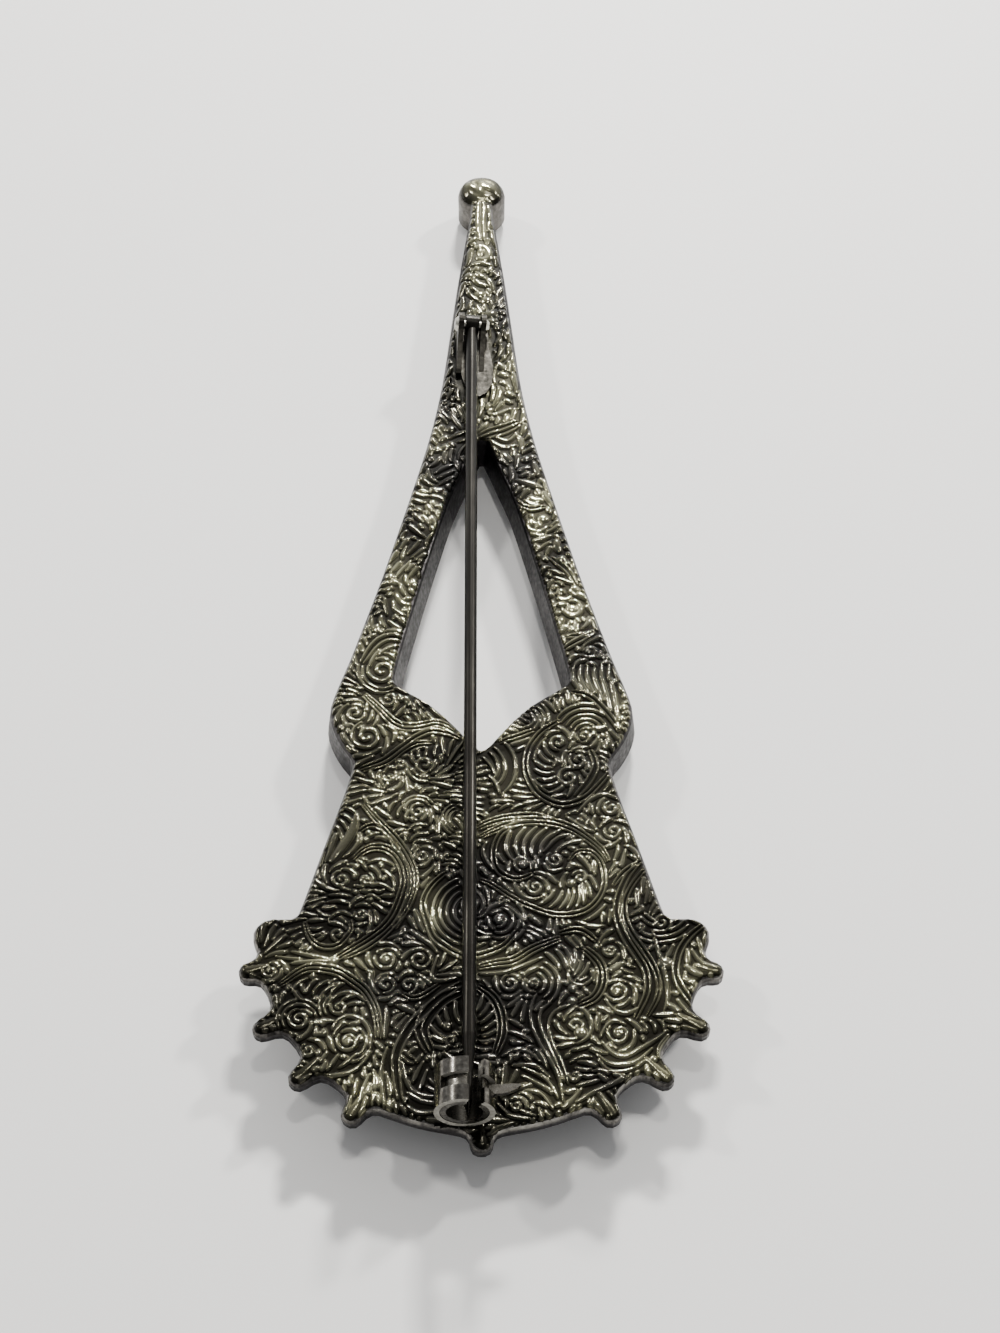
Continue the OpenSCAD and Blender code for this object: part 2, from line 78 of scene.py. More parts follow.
# ---------------------------------------------------------------- the engraved scrolls
# Places are in pixels of the picture, y down. Widths and spacings are in pixels too.
# Stems: stations along the stem, number of parallel lines, their spacing, half width of a line, rise.
STEMS = [
    # neckline, left shoulder
    ("364,695 381,711 393,723 405,728 421,727 438,723 455,732", 3, 3.2, 1.6, 1.0),
    ("361,769 381,762 393,754 409,742 421,735 432,731 449,734 460,739", 2, 4.0, 1.7, 1.0),
    ("364,771 389,762 402,751 418,743 432,743", 2, 3.4, 1.3, 0.8),
    ("383,725 396,732 392,744", 1, 0, 1.7, 0.9), ("398,697 397,704 393,712", 1, 0, 1.6, 0.8),
    ("404,697 408,701 409,707", 1, 0, 2.6, 0.9), ("390,663 395,665 398,671", 1, 0, 2.6, 1.0),
    ("404,717 409,720 412,726", 1, 0, 1.5, 0.8), ("412,713 417,717 420,724", 1, 0, 1.5, 0.8),
    ("426,712 430,717 434,722", 1, 0, 1.5, 0.8), ("431,707 434,712 440,717", 1, 0, 1.5, 0.8),
    ("415,700 419,705 424,710", 1, 0, 1.5, 0.8), ("363,796 370,808 379,821", 1, 0, 1.6, 0.8),
    ("363,812 369,816 377,814", 1, 0, 2.2, 0.7), ("355,778 365,782 375,783", 1, 0, 1.8, 0.8),
    ("384,774 388,767 396,769", 1, 0, 1.6, 0.9), ("384,790 389,783 397,785", 1, 0, 1.6, 0.9),
    # left arm
    ("431,489 437,492 443,490", 1, 0, 2.8, 1.0), ("426,506 433,512", 1, 0, 2.6, 1.0), ("431,501 436,507", 1, 0, 2.4, 1.0),
    ("421,516 427,520 429,526", 1, 0, 2.0, 1.0), ("419,525 423,530", 1, 0, 2.2, 1.0),
    ("407,531 402,536 402,541", 1, 0, 1.6, 0.9), ("411,537 416,540", 1, 0, 1.8, 0.9),
    ("433,534 429,538 426,543 427,547", 1, 0, 1.7, 0.8), ("407,547 403,553 402,560", 1, 0, 1.6, 0.9),
    ("411,561 406,567 400,572 396,579", 1, 0, 1.7, 1.0), ("422,560 418,565", 1, 0, 1.6, 0.9),
    ("419,573 422,579", 1, 0, 2.0, 1.0), ("405,575 406,581 409,587", 1, 0, 1.6, 1.0),
    ("412,580 416,586 418,590", 1, 0, 2.4, 1.0), ("400,584 402,591 406,596", 1, 0, 1.6, 1.0),
    ("396,594 399,600 404,605 412,605", 1, 0, 1.9, 1.0), ("409,589 415,595", 1, 0, 2.0, 1.0),
    ("393,601 394,608 398,613 405,616", 1, 0, 1.8, 1.0), ("404,599 411,599", 1, 0, 1.8, 0.9),
    ("400,618 408,626", 1, 0, 2.8, 1.0), ("388,621 394,626 401,630", 1, 0, 2.0, 1.0),
    ("381,616 381,623 385,628", 1, 0, 2.2, 1.0), ("385,598 384,604 386,610 387,616", 1, 0, 1.6, 0.9),
    ("406,642 398,638 389,637 380,641 373,647 367,655 362,663", 2, 5.0, 2.4, 1.1),
    ("402,633 394,631 387,631", 1, 0, 2.4, 1.0), ("366,639 375,635", 1, 0, 1.8, 0.8),
    ("378,656 385,650 392,647 399,646", 1, 0, 1.8, 0.9), ("369,668 373,658 380,650", 1, 0, 1.7, 0.9),
    ("383,668 384,662 390,661 397,665 399,671", 1, 0, 2.0, 1.0),
    # top of the left arm, neck
    ("480,196 481,208 480,222 482,240", 2, 5.0, 3.0, 0.7), ("475,249 483,246 490,254 486,261 477,258", 1, 0, 3.0, 1.0),
    ("471,266 480,263 492,267", 1, 0, 2.2, 1.0), ("476,273 484,279", 1, 0, 2.2, 0.9), ("492,267 488,274", 1, 0, 2.0, 0.9),
    ("473,280 480,285 487,287", 1, 0, 2.2, 0.9), ("470,288 478,292", 1, 0, 2.0, 0.9), ("486,278 492,285 494,294", 1, 0, 2.0, 0.9),
    ("472,301 468,308 465,311", 1, 0, 1.8, 0.7), ("476,305 482,315", 1, 0, 2.0, 0.8), ("497,333 500,340 493,347", 1, 0, 2.0, 0.8),
    ("496,363 505,370", 1, 0, 2.8, 1.1), ("499,373 507,377", 1, 0, 2.8, 1.1), ("500,382 507,385", 1, 0, 2.2, 1.0),
    ("506,393 514,397", 1, 0, 2.8, 1.1), ("504,400 512,404", 1, 0, 2.2, 1.0), ("454,366 447,376", 1, 0, 2.0, 0.9),
    ("451,385 459,387", 1, 0, 2.2, 0.7), ("448,406 455,405", 1, 0, 1.8, 0.7), ("450,413 457,423 462,430", 1, 0, 1.8, 0.7),
    ("434,425 440,421", 1, 0, 2.0, 0.9), ("440,441 447,437", 1, 0, 2.8, 1.0), ("449,443 455,447", 1, 0, 2.2, 1.0),
    ("430,467 437,463 440,457", 1, 0, 2.0, 0.9), ("435,474 445,468 453,466", 1, 0, 2.0, 0.9),
    ("438,479 446,475 454,472", 1, 0, 2.0, 0.8), ("440,485 448,480 455,478", 1, 0, 1.8, 0.7),
    # right arm
    ("488,415 497,415 511,409", 1, 0, 2.0, 0.9), ("492,409 485,416", 1, 0, 1.8, 0.8),
    ("480,438 493,433 505,430 519,423", 3, 4.2, 1.7, 0.9), ("488,440 497,446 505,448 517,446", 1, 0, 2.0, 0.9),
    ("496,438 508,442 517,433", 1, 0, 1.8, 0.9), ("502,454 511,462", 1, 0, 2.8, 0.9), ("517,467 523,463 531,463", 1, 0, 2.4, 1.0),
    ("518,472 529,468", 1, 0, 2.4, 1.0), ("520,477 529,473", 1, 0, 2.2, 1.0), ("533,462 536,470 538,477", 1, 0, 2.2, 1.0),
    ("518,436 522,443 520,453", 1, 0, 2.0, 0.9), ("517,481 525,483 534,486 541,488", 1, 0, 3.0, 1.1), ("538,480 542,487", 1, 0, 2.4, 1.0),
    ("529,498 536,502 541,500", 1, 0, 3.6, 1.1), ("515,499 520,505 527,509 538,509 545,507", 2, 3.2, 1.6, 1.0),
    ("524,500 530,505 541,506", 1, 0, 1.6, 0.9), ("521,517 524,512 532,510 539,511", 1, 0, 1.8, 0.9),
    ("547,507 550,514", 1, 0, 2.0, 0.9), ("530,515 534,519", 1, 0, 1.8, 0.9), ("525,524 528,529 534,532 542,532 547,527", 1, 0, 1.8, 1.0),
    ("530,534 538,536 546,535", 1, 0, 1.6, 0.9), ("536,528 546,530", 1, 0, 1.6, 0.9), ("531,542 538,540 545,539 551,536", 1, 0, 2.4, 1.1),
    ("549,545 549,541 554,536", 1, 0, 2.0, 1.0), ("556,540 557,547 559,553", 1, 0, 3.0, 1.1), ("554,535 560,540", 1, 0, 1.8, 0.9),
    ("544,557 547,562", 1, 0, 2.4, 1.0), ("551,558 559,565 568,571 576,585", 2, 4.0, 1.8, 1.0), ("547,562 556,567 564,574", 1, 0, 1.8, 1.0),
    ("539,578 540,572 544,569 550,568", 1, 0, 2.2, 1.0), ("549,571 557,573 564,575", 1, 0, 1.8, 1.0),
    ("554,578 564,581 574,585", 1, 0, 1.8, 1.0), ("556,582 564,586", 1, 0, 1.6, 0.9), ("569,578 575,585", 1, 0, 1.8, 1.0),
    ("572,587 579,592", 1, 0, 2.4, 1.0), ("576,595 581,596 587,600", 1, 0, 2.6, 1.1), ("569,590 574,596", 1, 0, 1.8, 0.9),
    ("562,609 565,615 571,617 578,616 582,611 581,605 577,601 570,602", 1, 0, 2.0, 1.1), ("584,606 585,613", 1, 0, 1.8, 0.9),
    ("549,600 554,606 552,612", 1, 0, 1.8, 0.6), ("562,619 556,628", 1, 0, 2.8, 1.0), ("567,626 559,633", 1, 0, 2.6, 1.0),
    ("589,617 588,624 582,629", 1, 0, 2.2, 1.0), ("593,617 595,624 597,631", 1, 0, 2.0, 0.9),
    ("566,637 574,636 581,636 589,634 594,631", 2, 3.4, 1.5, 0.9), ("564,649 571,645 578,641 586,637 594,632", 2, 4.4, 2.4, 1.2),
    ("587,640 596,641", 1, 0, 1.8, 1.0), ("582,656 589,659 598,655 594,648 588,646", 1, 0, 1.8, 1.0),
    ("569,663 572,657 579,656", 1, 0, 2.4, 1.0), ("574,668 578,662 587,661", 1, 0, 2.0, 1.0),
    ("586,666 591,663 596,667", 1, 0, 1.8, 0.9), ("601,665 606,662 611,665", 1, 0, 1.8, 0.9), ("566,665 570,671", 1, 0, 1.8, 0.8),
    # right shoulder
    ("572,692 590,697 602,708 614,722 619,732", 2, 4.0, 1.7, 1.0), ("500,743 508,739 516,737 533,731", 2, 3.5, 1.5, 0.9),
    ("550,701 552,696 557,694", 1, 0, 1.7, 0.9), ("560,696 562,690 566,688", 1, 0, 1.7, 0.9),
    ("477,828 500,820 530,817 554,821", 3, 3.2, 1.5, 1.0), ("488,812 493,807 500,806", 1, 0, 1.3, 0.8),
    ("499,811 505,806 512,805", 1, 0, 1.3, 0.8), ("511,811 516,806 523,806", 1, 0, 1.3, 0.8),
    ("482,758 490,765 494,775", 1, 0, 1.7, 0.8), ("488,776 495,783 499,794", 1, 0, 1.7, 0.8),
    ("559,721 544,730 531,744 525,761 528,778 537,794 552,803 566,805 584,799 597,787 612,770", 2, 4.2, 1.7, 1.0),
    ("590,751 596,764 590,780 576,797", 2, 5.0, 1.7, 0.9), ("593,728 599,730 606,727", 1, 0, 2.6, 1.0),
    ("568,778 574,784 572,790", 1, 0, 1.6, 0.8),
    ("576,814 590,800 604,794 619,800", 1, 0, 1.7, 0.9), ("595,816 592,824 597,831", 1, 0, 1.7, 0.9),
    ("566,815 583,808 600,797 612,796", 1, 0, 1.8, 1.0), ("566,817 583,828 594,832", 1, 0, 1.6, 0.9),
    ("625,846 633,850 641,862", 1, 0, 1.9, 0.9), ("628,856 634,858 640,865", 1, 0, 1.6, 0.9), ("618,846 617,855 614,862", 1, 0, 1.7, 0.8),
    # body, left
    ("354,860 363,851 378,847 392,852 401,864 405,880 402,896 395,913 386,926 365,942 333,961", 3, 3.6, 1.6, 1.0),
    ("368,864 379,859 394,866", 1, 0, 1.7, 0.9), ("382,870 394,880 394,894", 1, 0, 1.7, 0.9),
    ("354,886 363,888 372,886 379,884 386,887 392,892", 1, 0, 1.7, 0.9), ("373,890 379,893 384,890", 1, 0, 1.5, 0.8),
    ("365,897 372,896 380,900", 1, 0, 1.6, 0.8), ("355,907 362,904 370,907", 1, 0, 1.6, 0.8),
    ("369,911 371,923 367,935 354,947", 1, 0, 1.7, 0.9), ("361,831 370,825 378,827 386,833 399,851", 2, 4.0, 1.5, 0.9),
    ("375,839 380,837 392,843", 1, 0, 1.6, 0.8), ("363,804 378,822 394,838 407,856 414,874 413,893 404,913 394,929", 3, 3.2, 1.4, 1.0),
    ("330,889 340,888 350,891", 1, 0, 1.5, 0.8), ("329,896 340,895 350,897", 1, 0, 1.5, 0.8), ("327,903 338,901 349,904", 1, 0, 1.5, 0.8),
    ("357,815 353,830 347,840 335,857 331,862", 1, 0, 3.6, 0.9), ("408,832 415,825 427,826", 1, 0, 1.7, 0.9),
    ("410,842 416,835 429,834", 1, 0, 1.7, 0.9), ("413,845 418,840 432,843", 1, 0, 1.6, 0.8),
    ("443,834 448,840", 1, 0, 1.6, 0.8), ("439,844 443,851", 1, 0, 1.6, 0.8), ("435,849 437,860", 1, 0, 1.6, 0.8),
    # centre medallion and the bundle under it
    ("445,874 432,885 424,898 423,910 428,923 433,938 442,945 454,953 463,956 476,956 494,951 507,944 516,932", 2, 4.6, 2.2, 1.1),
    ("505,905 520,917 524,929", 1, 0, 1.8, 1.0), ("478,967 500,963 512,962 524,955 536,948 560,939", 3, 3.4, 1.6, 1.1),
    ("478,974 501,973 520,967 542,958", 1, 0, 1.7, 0.9),
    # right oval
    ("480,837 496,830 520,822 546,822 570,828 588,839 602,851 608,862", 3, 3.2, 1.4, 1.0),
    ("532,874 523,879 511,879 498,872 493,857 496,842 504,831 520,824", 2, 4.0, 1.6, 1.0),
    ("487,842 482,850 487,864 496,873", 1, 0, 1.6, 0.9), ("544,852 557,838 570,835", 1, 0, 1.7, 0.9),
    ("521,880 530,875 541,880", 1, 0, 1.7, 0.9),
    ("569,861 574,854 586,851 598,858 604,872 604,886 598,900 586,911 570,915 552,915 532,908 512,898 492,885 480,880", 2, 3.6, 1.6, 1.0),
    ("582,922 594,917 606,905", 1, 0, 1.9, 1.0), ("576,922 590,927 604,927", 1, 0, 1.9, 1.0),
    # right long S
    ("640,862 627,877 617,901 617,919 624,937 635,954 645,970 648,986 645,999 635,1019", 2, 5.0, 1.7, 1.0),
    ("647,867 631,887 624,906 628,927 643,950 653,966 659,983 657,999 647,1017", 2, 4.0, 1.5, 0.9),
    ("652,930 659,955 667,983 668,999 664,1011", 1, 0, 1.7, 0.9), ("613,901 611,912 609,925", 1, 0, 1.7, 0.8),
    ("642,861 624,872 613,886", 2, 3.2, 1.4, 0.9), ("704,925 691,935 680,950 676,966 677,981 688,998 704,1015", 2, 5.0, 1.8, 1.0),
    ("704,933 707,949 717,963", 1, 0, 1.8, 0.9), ("691,949 701,963 719,969", 1, 0, 1.9, 1.0), ("685,966 692,971 701,975", 1, 0, 2.6, 1.1),
    ("677,999 688,1013 699,1019", 1, 0, 1.7, 0.9), ("684,991 695,1003 704,1015", 1, 0, 1.7, 1.0), ("667,1004 673,1008 680,1012", 1, 0, 2.6, 1.1),
    ("605,987 613,981 627,983", 1, 0, 1.7, 1.0), ("604,997 613,1010 627,1014 640,1007 647,994", 1, 0, 1.7, 1.0),
    ("600,1038 606,1026 615,1020 625,1025", 1, 0, 1.7, 1.0), ("618,1036 624,1043 635,1042", 1, 0, 1.7, 0.9),
    ("604,973 613,970 624,963", 1, 0, 2.8, 1.0), ("597,1008 605,1010 613,1014", 1, 0, 2.4, 0.9),
    ("640,1022 646,1027 646,1034", 1, 0, 1.5, 0.8), ("649,1021 655,1026 655,1033", 1, 0, 1.5, 0.8), ("658,1020 664,1025 664,1031", 1, 0, 1.5, 0.8),
    ("602,1042 610,1052 624,1057 640,1049 656,1040 667,1031", 1, 0, 1.8, 1.0), ("597,1055 608,1064 624,1065 639,1060 652,1049", 1, 0, 1.8, 1.0),
    ("598,1060 608,1071 624,1072 634,1068", 1, 0, 1.7, 0.9), ("592,1072 599,1070 611,1075 625,1076", 1, 0, 1.7, 0.9),
    ("576,1103 596,1091 613,1084 626,1076 635,1068 645,1061", 1, 0, 2.0, 1.0), ("669,1035 659,1048 659,1059", 1, 0, 2.0, 1.0),
    # medallion under the right oval, plumes
    ("560,933 580,930 596,941", 2, 4.0, 1.6, 0.9), ("584,949 599,963 603,981 595,998 580,1005", 3, 4.0, 1.5, 0.9),
    ("536,995 530,1010 532,1027 541,1046 552,1064 560,1082 563,1102", 1, 0, 1.8, 1.0),
    ("551,1003 540,1012 540,1027 548,1046 558,1068 564,1082", 1, 0, 1.7, 1.0),
    ("574,1004 554,1012 548,1027 553,1046 563,1066 568,1084", 1, 0, 1.7, 1.0),
    ("548,1022 556,1010 574,1005 588,1015 592,1028 587,1039 577,1044", 1, 0, 1.8, 1.0),
    ("570,1063 580,1057 592,1058", 1, 0, 1.6, 0.9), ("570,1051 581,1049 592,1045", 1, 0, 1.6, 0.9),
    ("577,1086 588,1083 599,1081", 1, 0, 1.9, 0.9), ("577,1101 588,1097 598,1089", 1, 0, 1.9, 0.9),
    ("482,980 495,994 500,998", 1, 0, 1.8, 0.9),
    # feathers right of the catch
    ("508,1019 523,1028", 1, 0, 1.8, 0.9), ("509,1032 521,1035 533,1043", 1, 0, 1.8, 0.9), ("502,1057 517,1049 532,1055 540,1063", 1, 0, 1.8, 0.9),
    ("512,1066 535,1066 550,1079", 1, 0, 1.8, 1.0), ("522,1068 546,1080 558,1099", 1, 0, 1.8, 0.9), ("522,1076 551,1092 559,1104", 1, 0, 1.8, 0.9),
    ("524,1091 540,1093 553,1110", 1, 0, 1.8, 0.9), ("534,1103 543,1104 553,1111", 1, 0, 1.8, 0.8),
    # bottom medallion round the wire
    ("463,991 440,1002 424,1022 422,1035 430,1052", 3, 6.0, 1.7, 0.9), ("478,987 493,998 501,1016 502,1035 495,1054", 3, 4.4, 1.6, 0.9),
    ("402,1061 406,1081 416,1094 434,1097", 1, 0, 1.8, 0.9), ("407,1093 421,1101 438,1104", 1, 0, 1.8, 0.9),
    ("407,1106 416,1113 438,1112", 1, 0, 1.8, 0.9), ("393,1100 397,1113", 1, 0, 1.6, 0.8), ("400,1105 407,1115", 1, 0, 1.6, 0.8),
    ("441,1105 450,1115 462,1124", 1, 0, 1.6, 0.8), ("497,1104 509,1116 530,1119", 1, 0, 1.8, 0.8), ("505,1105 520,1111 535,1116", 1, 0, 1.6, 0.8),
    # middle left
    ("291,952 310,956 333,961", 1, 0, 1.6, 0.9), ("291,964 310,962 333,962", 1, 0, 1.6, 0.9), ("276,957 300,960 333,961", 1, 0, 1.6, 0.8),
    ("343,959 359,953 375,943 391,929 410,908", 2, 3.2, 1.5, 1.0), ("359,958 373,947 384,943 394,945 401,952", 1, 0, 1.7, 1.0),
    ("403,994 410,999 423,996 439,985", 2, 3.6, 1.6, 0.9), ("438,956 432,980 457,979", 1, 0, 2.0, 0.9),
    ("397,1006 406,1009 416,1014", 1, 0, 2.6, 0.9),
    ("462,984 442,997 426,1011 410,1028 398,1050 396,1065 397,1081 400,1100", 2, 7.0, 2.8, 0.9),
    ("387,1048 382,1065 381,1081 384,1108", 1, 0, 1.7, 0.8), ("386,1007 386,1023 384,1039", 1, 0, 1.8, 0.8),
    ("368,995 376,1010 381,1028 379,1049", 1, 0, 1.8, 0.9),
    ("305,922 307,932 313,943 325,948 337,947 346,939 352,929 350,921", 2, 3.6, 1.6, 1.0), ("328,921 335,914 343,912 352,917", 1, 0, 1.7, 0.9),
    ("317,910 322,916 329,916", 1, 0, 1.6, 0.8),
    # lower left roundel
    ("280,985 290,978 306,969 322,969 338,972 352,981 365,991 374,1007 378,1023 378,1039", 3, 3.6, 1.5, 1.0),
    ("307,979 296,985 292,993", 1, 0, 1.7, 0.9), ("318,980 310,985 306,994", 1, 0, 1.7, 0.9), ("329,981 317,987 313,996", 1, 0, 1.6, 0.8),
    ("340,983 326,990 320,998", 1, 0, 1.7, 0.9), ("327,1007 333,998 343,993 356,994 365,1002", 1, 0, 1.7, 1.0),
    ("332,1030 338,1020 351,1016 365,1023 371,1036 370,1051", 1, 0, 1.8, 1.0), ("345,1035 351,1030", 1, 0, 1.6, 0.8),
    ("327,1052 320,1063", 1, 0, 1.7, 0.9), ("338,1055 327,1071", 1, 0, 1.7, 0.9), ("357,1054 344,1065 339,1068", 1, 0, 1.7, 0.9),
    ("315,1074 331,1076 349,1073 363,1064 371,1052", 1, 0, 1.8, 1.0), ("344,1081 344,1096", 1, 0, 1.9, 1.0),
    ("357,1079 354,1097", 1, 0, 1.9, 1.0), ("370,1074 364,1087 359,1104", 1, 0, 1.8, 1.0), ("372,1105 375,1093 379,1105", 1, 0, 2.0, 1.0),
]
# Plumes: the rib that they leave, the eye that they turn to, how many, length in pixels, sweep along the rib, half width, rise.
PLUMES = [
    ("484,838 496,833 520,826 546,826 570,832 588,843", (540, 880), 9, 30, -0.75, 1.9, 0.95),
    ("600,890 592,900 584,907 570,911 552,911 534,905", (580, 870), 8, 20, -0.45, 1.7, 0.95),
    ("352,862 363,855 378,851 390,856 398,868 401,882 398,896 391,911", (368, 884), 8, 13, 0.5, 1.5, 0.85),
    ("340,845 349,836 357,822 361,812", (330, 815), 4, 16, 0.5, 1.5, 0.8),
    ("459,996 441,1006 428,1023 426,1035 433,1052", (470, 1050), 6, 24, 0.4, 1.9, 0.9),
    ("480,991 490,1000 497,1017 498,1035 491,1054", (460, 1045), 7, 18, 0.35, 1.8, 0.9),
    ("540,953 556,947 570,946 584,953 594,966", (570, 985), 6, 22, 0.4, 1.9, 0.95),
    ("290,986 306,975 322,974 338,978 350,986 361,996 368,1008", (326, 1010), 10, 17, -0.5, 1.6, 0.9),
    ("306,926 310,936 318,944 330,948 342,944 349,936", (330, 925), 7, 12, 0.5, 1.5, 0.85),
    ("562,727 548,735 537,748 532,762 534,777 542,790 555,798", (574, 764), 9, 18, 0.6, 1.7, 0.9),
    ("563,801 582,794 594,783 606,768", (580, 770), 5, 16, 0.6, 1.6, 0.85),
    ("424,838 412,828 398,820 384,812", (420, 806), 5, 14, 0.5, 1.5, 0.8),
    ("465,842 456,850 446,858 438,868", (470, 866), 5, 15, -0.5, 1.6, 0.85),
    ("526,934 520,942 510,949 498,954", (505, 930), 4, 14, 0.4, 1.6, 0.9),
    ("624,908 628,926 640,946 650,964 655,982", (612, 950), 6, 16, 0.6, 1.5, 0.8),
    ("680,952 672,966 672,980 680,994", (660, 980), 4, 14, 0.5, 1.5, 0.8),
    ("535,1010 538,1030 546,1048 555,1066", (522, 1040), 6, 15, 0.6, 1.6, 0.85),
    ("572,1066 580,1080 584,1096", (596, 1080), 4, 14, 0.5, 1.6, 0.85),
    ("362,963 350,975 372,1010 378,1030", (395, 1000), 4, 14, 0.4, 1.5, 0.75),
    ("400,1040 394,1060 394,1080", (416, 1070), 5, 18, 0.5, 1.6, 0.8),
    ("440,1060 428,1076 424,1090", (455, 1090), 4, 12, 0.5, 1.5, 0.7),
    ("366,700 376,712 390,722", (368, 728), 4, 12, 0.5, 1.5, 0.85),
    ("440,742 425,747 410,752 398,762", (430, 770), 5, 12, 0.5, 1.5, 0.85),
]
# Spirals: centre, radius, turns, hand (1 winds outward clockwise in the picture), where the outer end is, rise.
SPIRALS = [
    (382, 671, 15, 1.6, 1, 200, 1.0), (389, 699, 9, 1.4, 1, 180, 0.9), (355, 714, 10, 1.5, -1, 0, 0.9), (367, 737, 17, 1.9, 1, 250, 1.0),
    (425, 765, 10, 1.3, -1, 90, 0.9), (418, 812, 9, 1.4, 1, 300, 0.9), (389, 778, 6, 1.2, 1, 200, 0.8), (560, 594, 4.5, 1.0, 1, 0, 0.9),
    (590, 652, 6, 1.2, 1, 40, 1.0), (558, 743, 9, 1.5, -1, 90, 1.0), (578, 761, 10, 1.5, 1, 220, 1.0), (568, 778, 12, 1.6, 1, 300, 1.0),
    (584, 737, 7, 1.2, 1, 100, 0.9), (611, 809, 8, 1.5, 1, 250, 1.0), (613, 832, 9, 1.6, 1, 200, 1.0), (366, 880, 8, 1.4, -1, 300, 1.0),
    (361, 915, 7, 1.4, 1, 200, 1.0), (341, 880, 10, 1.6, 1, 260, 1.0), (422, 856, 8, 1.5, 1, 240, 0.9), (499, 921, 8, 1.4, 1, 100, 1.0),
    (522, 864, 9, 1.6, -1, 90, 1.1), (555, 860, 9, 1.6, 1, 230, 1.1), (535, 888, 9, 1.6, 1, 230, 1.1), (580, 878, 8, 1.5, -1, 200, 1.0),
    (662, 923, 10, 1.7, 1, 60, 1.0), (617, 992, 13, 1.8, 1, 220, 1.1), (610, 951, 7, 1.5, 1, 200, 1.0), (619, 1034, 12, 1.7, 1, 220, 1.1),
    (575, 1026, 9, 1.4, 1, 60, 1.0), (575, 1076, 7, 1.4, 1, 200, 1.0), (510, 984, 10, 1.6, 1, 250, 1.0), (516, 1106, 6, 1.3, 1, 200, 0.9),
    (452, 1041, 7, 1.3, -1, 90, 0.9), (386, 960, 12, 1.6, 1, 200, 1.0), (420, 960, 12, 1.7, -1, 300, 1.0), (386, 985, 10, 1.6, 1, 100, 1.0),
    (409, 986, 10, 1.6, 1, 120, 1.0), (338, 935, 8, 1.4, -1, 60, 1.0), (339, 1008, 9, 1.5, 1, 200, 1.0), (348, 1042, 12, 1.8, 1, 220, 1.1),
    (299, 1020, 12, 1.8, 1, 260, 1.0), (308, 1051, 8, 1.5, 1, 240, 1.0), (270, 972, 8, 1.3, 1, 200, 0.8), (533, 984, 6, 1.2, 1, 60, 1.0),
    (586, 735, 9, 1.0, 1, 200, 0.9), (471, 905, 10, 1.4, -1, 120, 0.9), (640, 928, 5, 1.2, 1, 90, 0.7),
]
# Concentric arcs: centre, radii, from angle, to angle (0 right, 90 down), half width, rise.
ARCS = [
    (382, 671, (20, 24.5), 60, 200, 1.5, 0.8), (425, 765, (14, 19), 80, 300, 1.7, 0.9), (418, 812, (13, 17), 60, 330, 1.6, 0.9),
    (478, 768, (14, 20, 27, 38), -60, 60, 1.6, 0.8), (526, 720, (8, 13, 18, 23), -60, 100, 1.6, 0.9),
    (568, 762, (22, 28, 34, 40), 110, 235, 1.5, 0.8), (586, 735, (12, 17, 22, 28, 34), 200, 340, 1.5, 0.9),
    (460, 820, (10, 14, 18), 110, 250, 1.5, 0.8), (471, 912, (38, 31, 24, 17), 105, 250, 1.9, 1.0),
    (499, 921, (14, 20, 26), -80, 110, 1.6, 0.9), (660, 905, (18, 24, 30, 36, 42), 30, 150, 1.5, 0.8),
    (533, 984, (12, 19, 26), -70, 60, 1.9, 0.9), (341, 929, (15, 21), 20, 170, 1.5, 0.8), (339, 1008, (15, 20), 150, 330, 1.5, 0.8),
    (348, 1042, (18, 23), -60, 100, 1.5, 0.8), (299, 1020, (17, 22), 150, 350, 1.5, 0.8), (580, 975, (7, 12), 20, 220, 1.6, 0.9),
    (460, 1030, (9, 15), 120, 260, 1.6, 0.8), (475, 1030, (8, 14), -60, 70, 1.6, 0.8), (640, 945, (26, 33), 100, 170, 1.4, 0.7),
]
# Round beads: centre, radius, rise.
BEADS = [
    (424, 777, 3.0, 1.0), (409, 511, 2.6, 0.9), (418, 510, 2.4, 0.8), (409, 521, 2.6, 0.9), (376, 608, 2.4, 0.9), (390, 578, 3.0, 1.0),
    (394, 583, 2.8, 1.0), (403, 662, 3.0, 1.0), (531, 523, 3.0, 1.0), (543, 519, 3.4, 1.0), (567, 548, 2.4, 0.8), (569, 555, 2.2, 0.8),
    (537, 557, 2.2, 0.7), (536, 565, 2.4, 0.8), (544, 581, 2.6, 1.0), (561, 560, 3.4, 1.1), (566, 564, 2.4, 1.0), (549, 595, 3.2, 1.0),
    (572, 610, 4.0, 1.1), (553, 619, 2.6, 1.0), (607, 658, 3.2, 1.0), (469, 277, 3.6, 1.0), (480, 295, 3.6, 1.0), (487, 301, 3.6, 1.1),
    (491, 315, 4.4, 1.1), (492, 323, 4.0, 1.1), (502, 313, 3.0, 0.9), (442, 395, 3.0, 1.0), (457, 375, 2.8, 0.8), (437, 450, 3.0, 1.0),
    (446, 448, 3.2, 1.0), (451, 430, 3.0, 0.8), (526, 460, 3.0, 0.9), (532, 458, 2.8, 0.9), (626, 696, 2.6, 0.8), (614, 682, 2.6, 0.9),
    (624, 708, 2.8, 0.9), (622, 719, 2.6, 0.8), (618, 727, 2.6, 0.8), (571, 884, 3.0, 1.0), (573, 989, 3.0, 1.0), (572, 1002, 3.0, 1.0),
    (581, 1033, 4.0, 1.2), (448, 1027, 3.4, 0.9), (665, 964, 4.6, 1.0), (668, 1058, 4.0, 1.1), (333, 961, 3.6, 1.1), (499, 921, 3.0, 1.1),
    (386, 960, 2.8, 1.0), (366, 880, 2.6, 1.0), (348, 1042, 2.8, 1.1), (619, 1034, 2.8, 1.1), (617, 992, 2.8, 1.1), (522, 864, 2.8, 1.1),
]
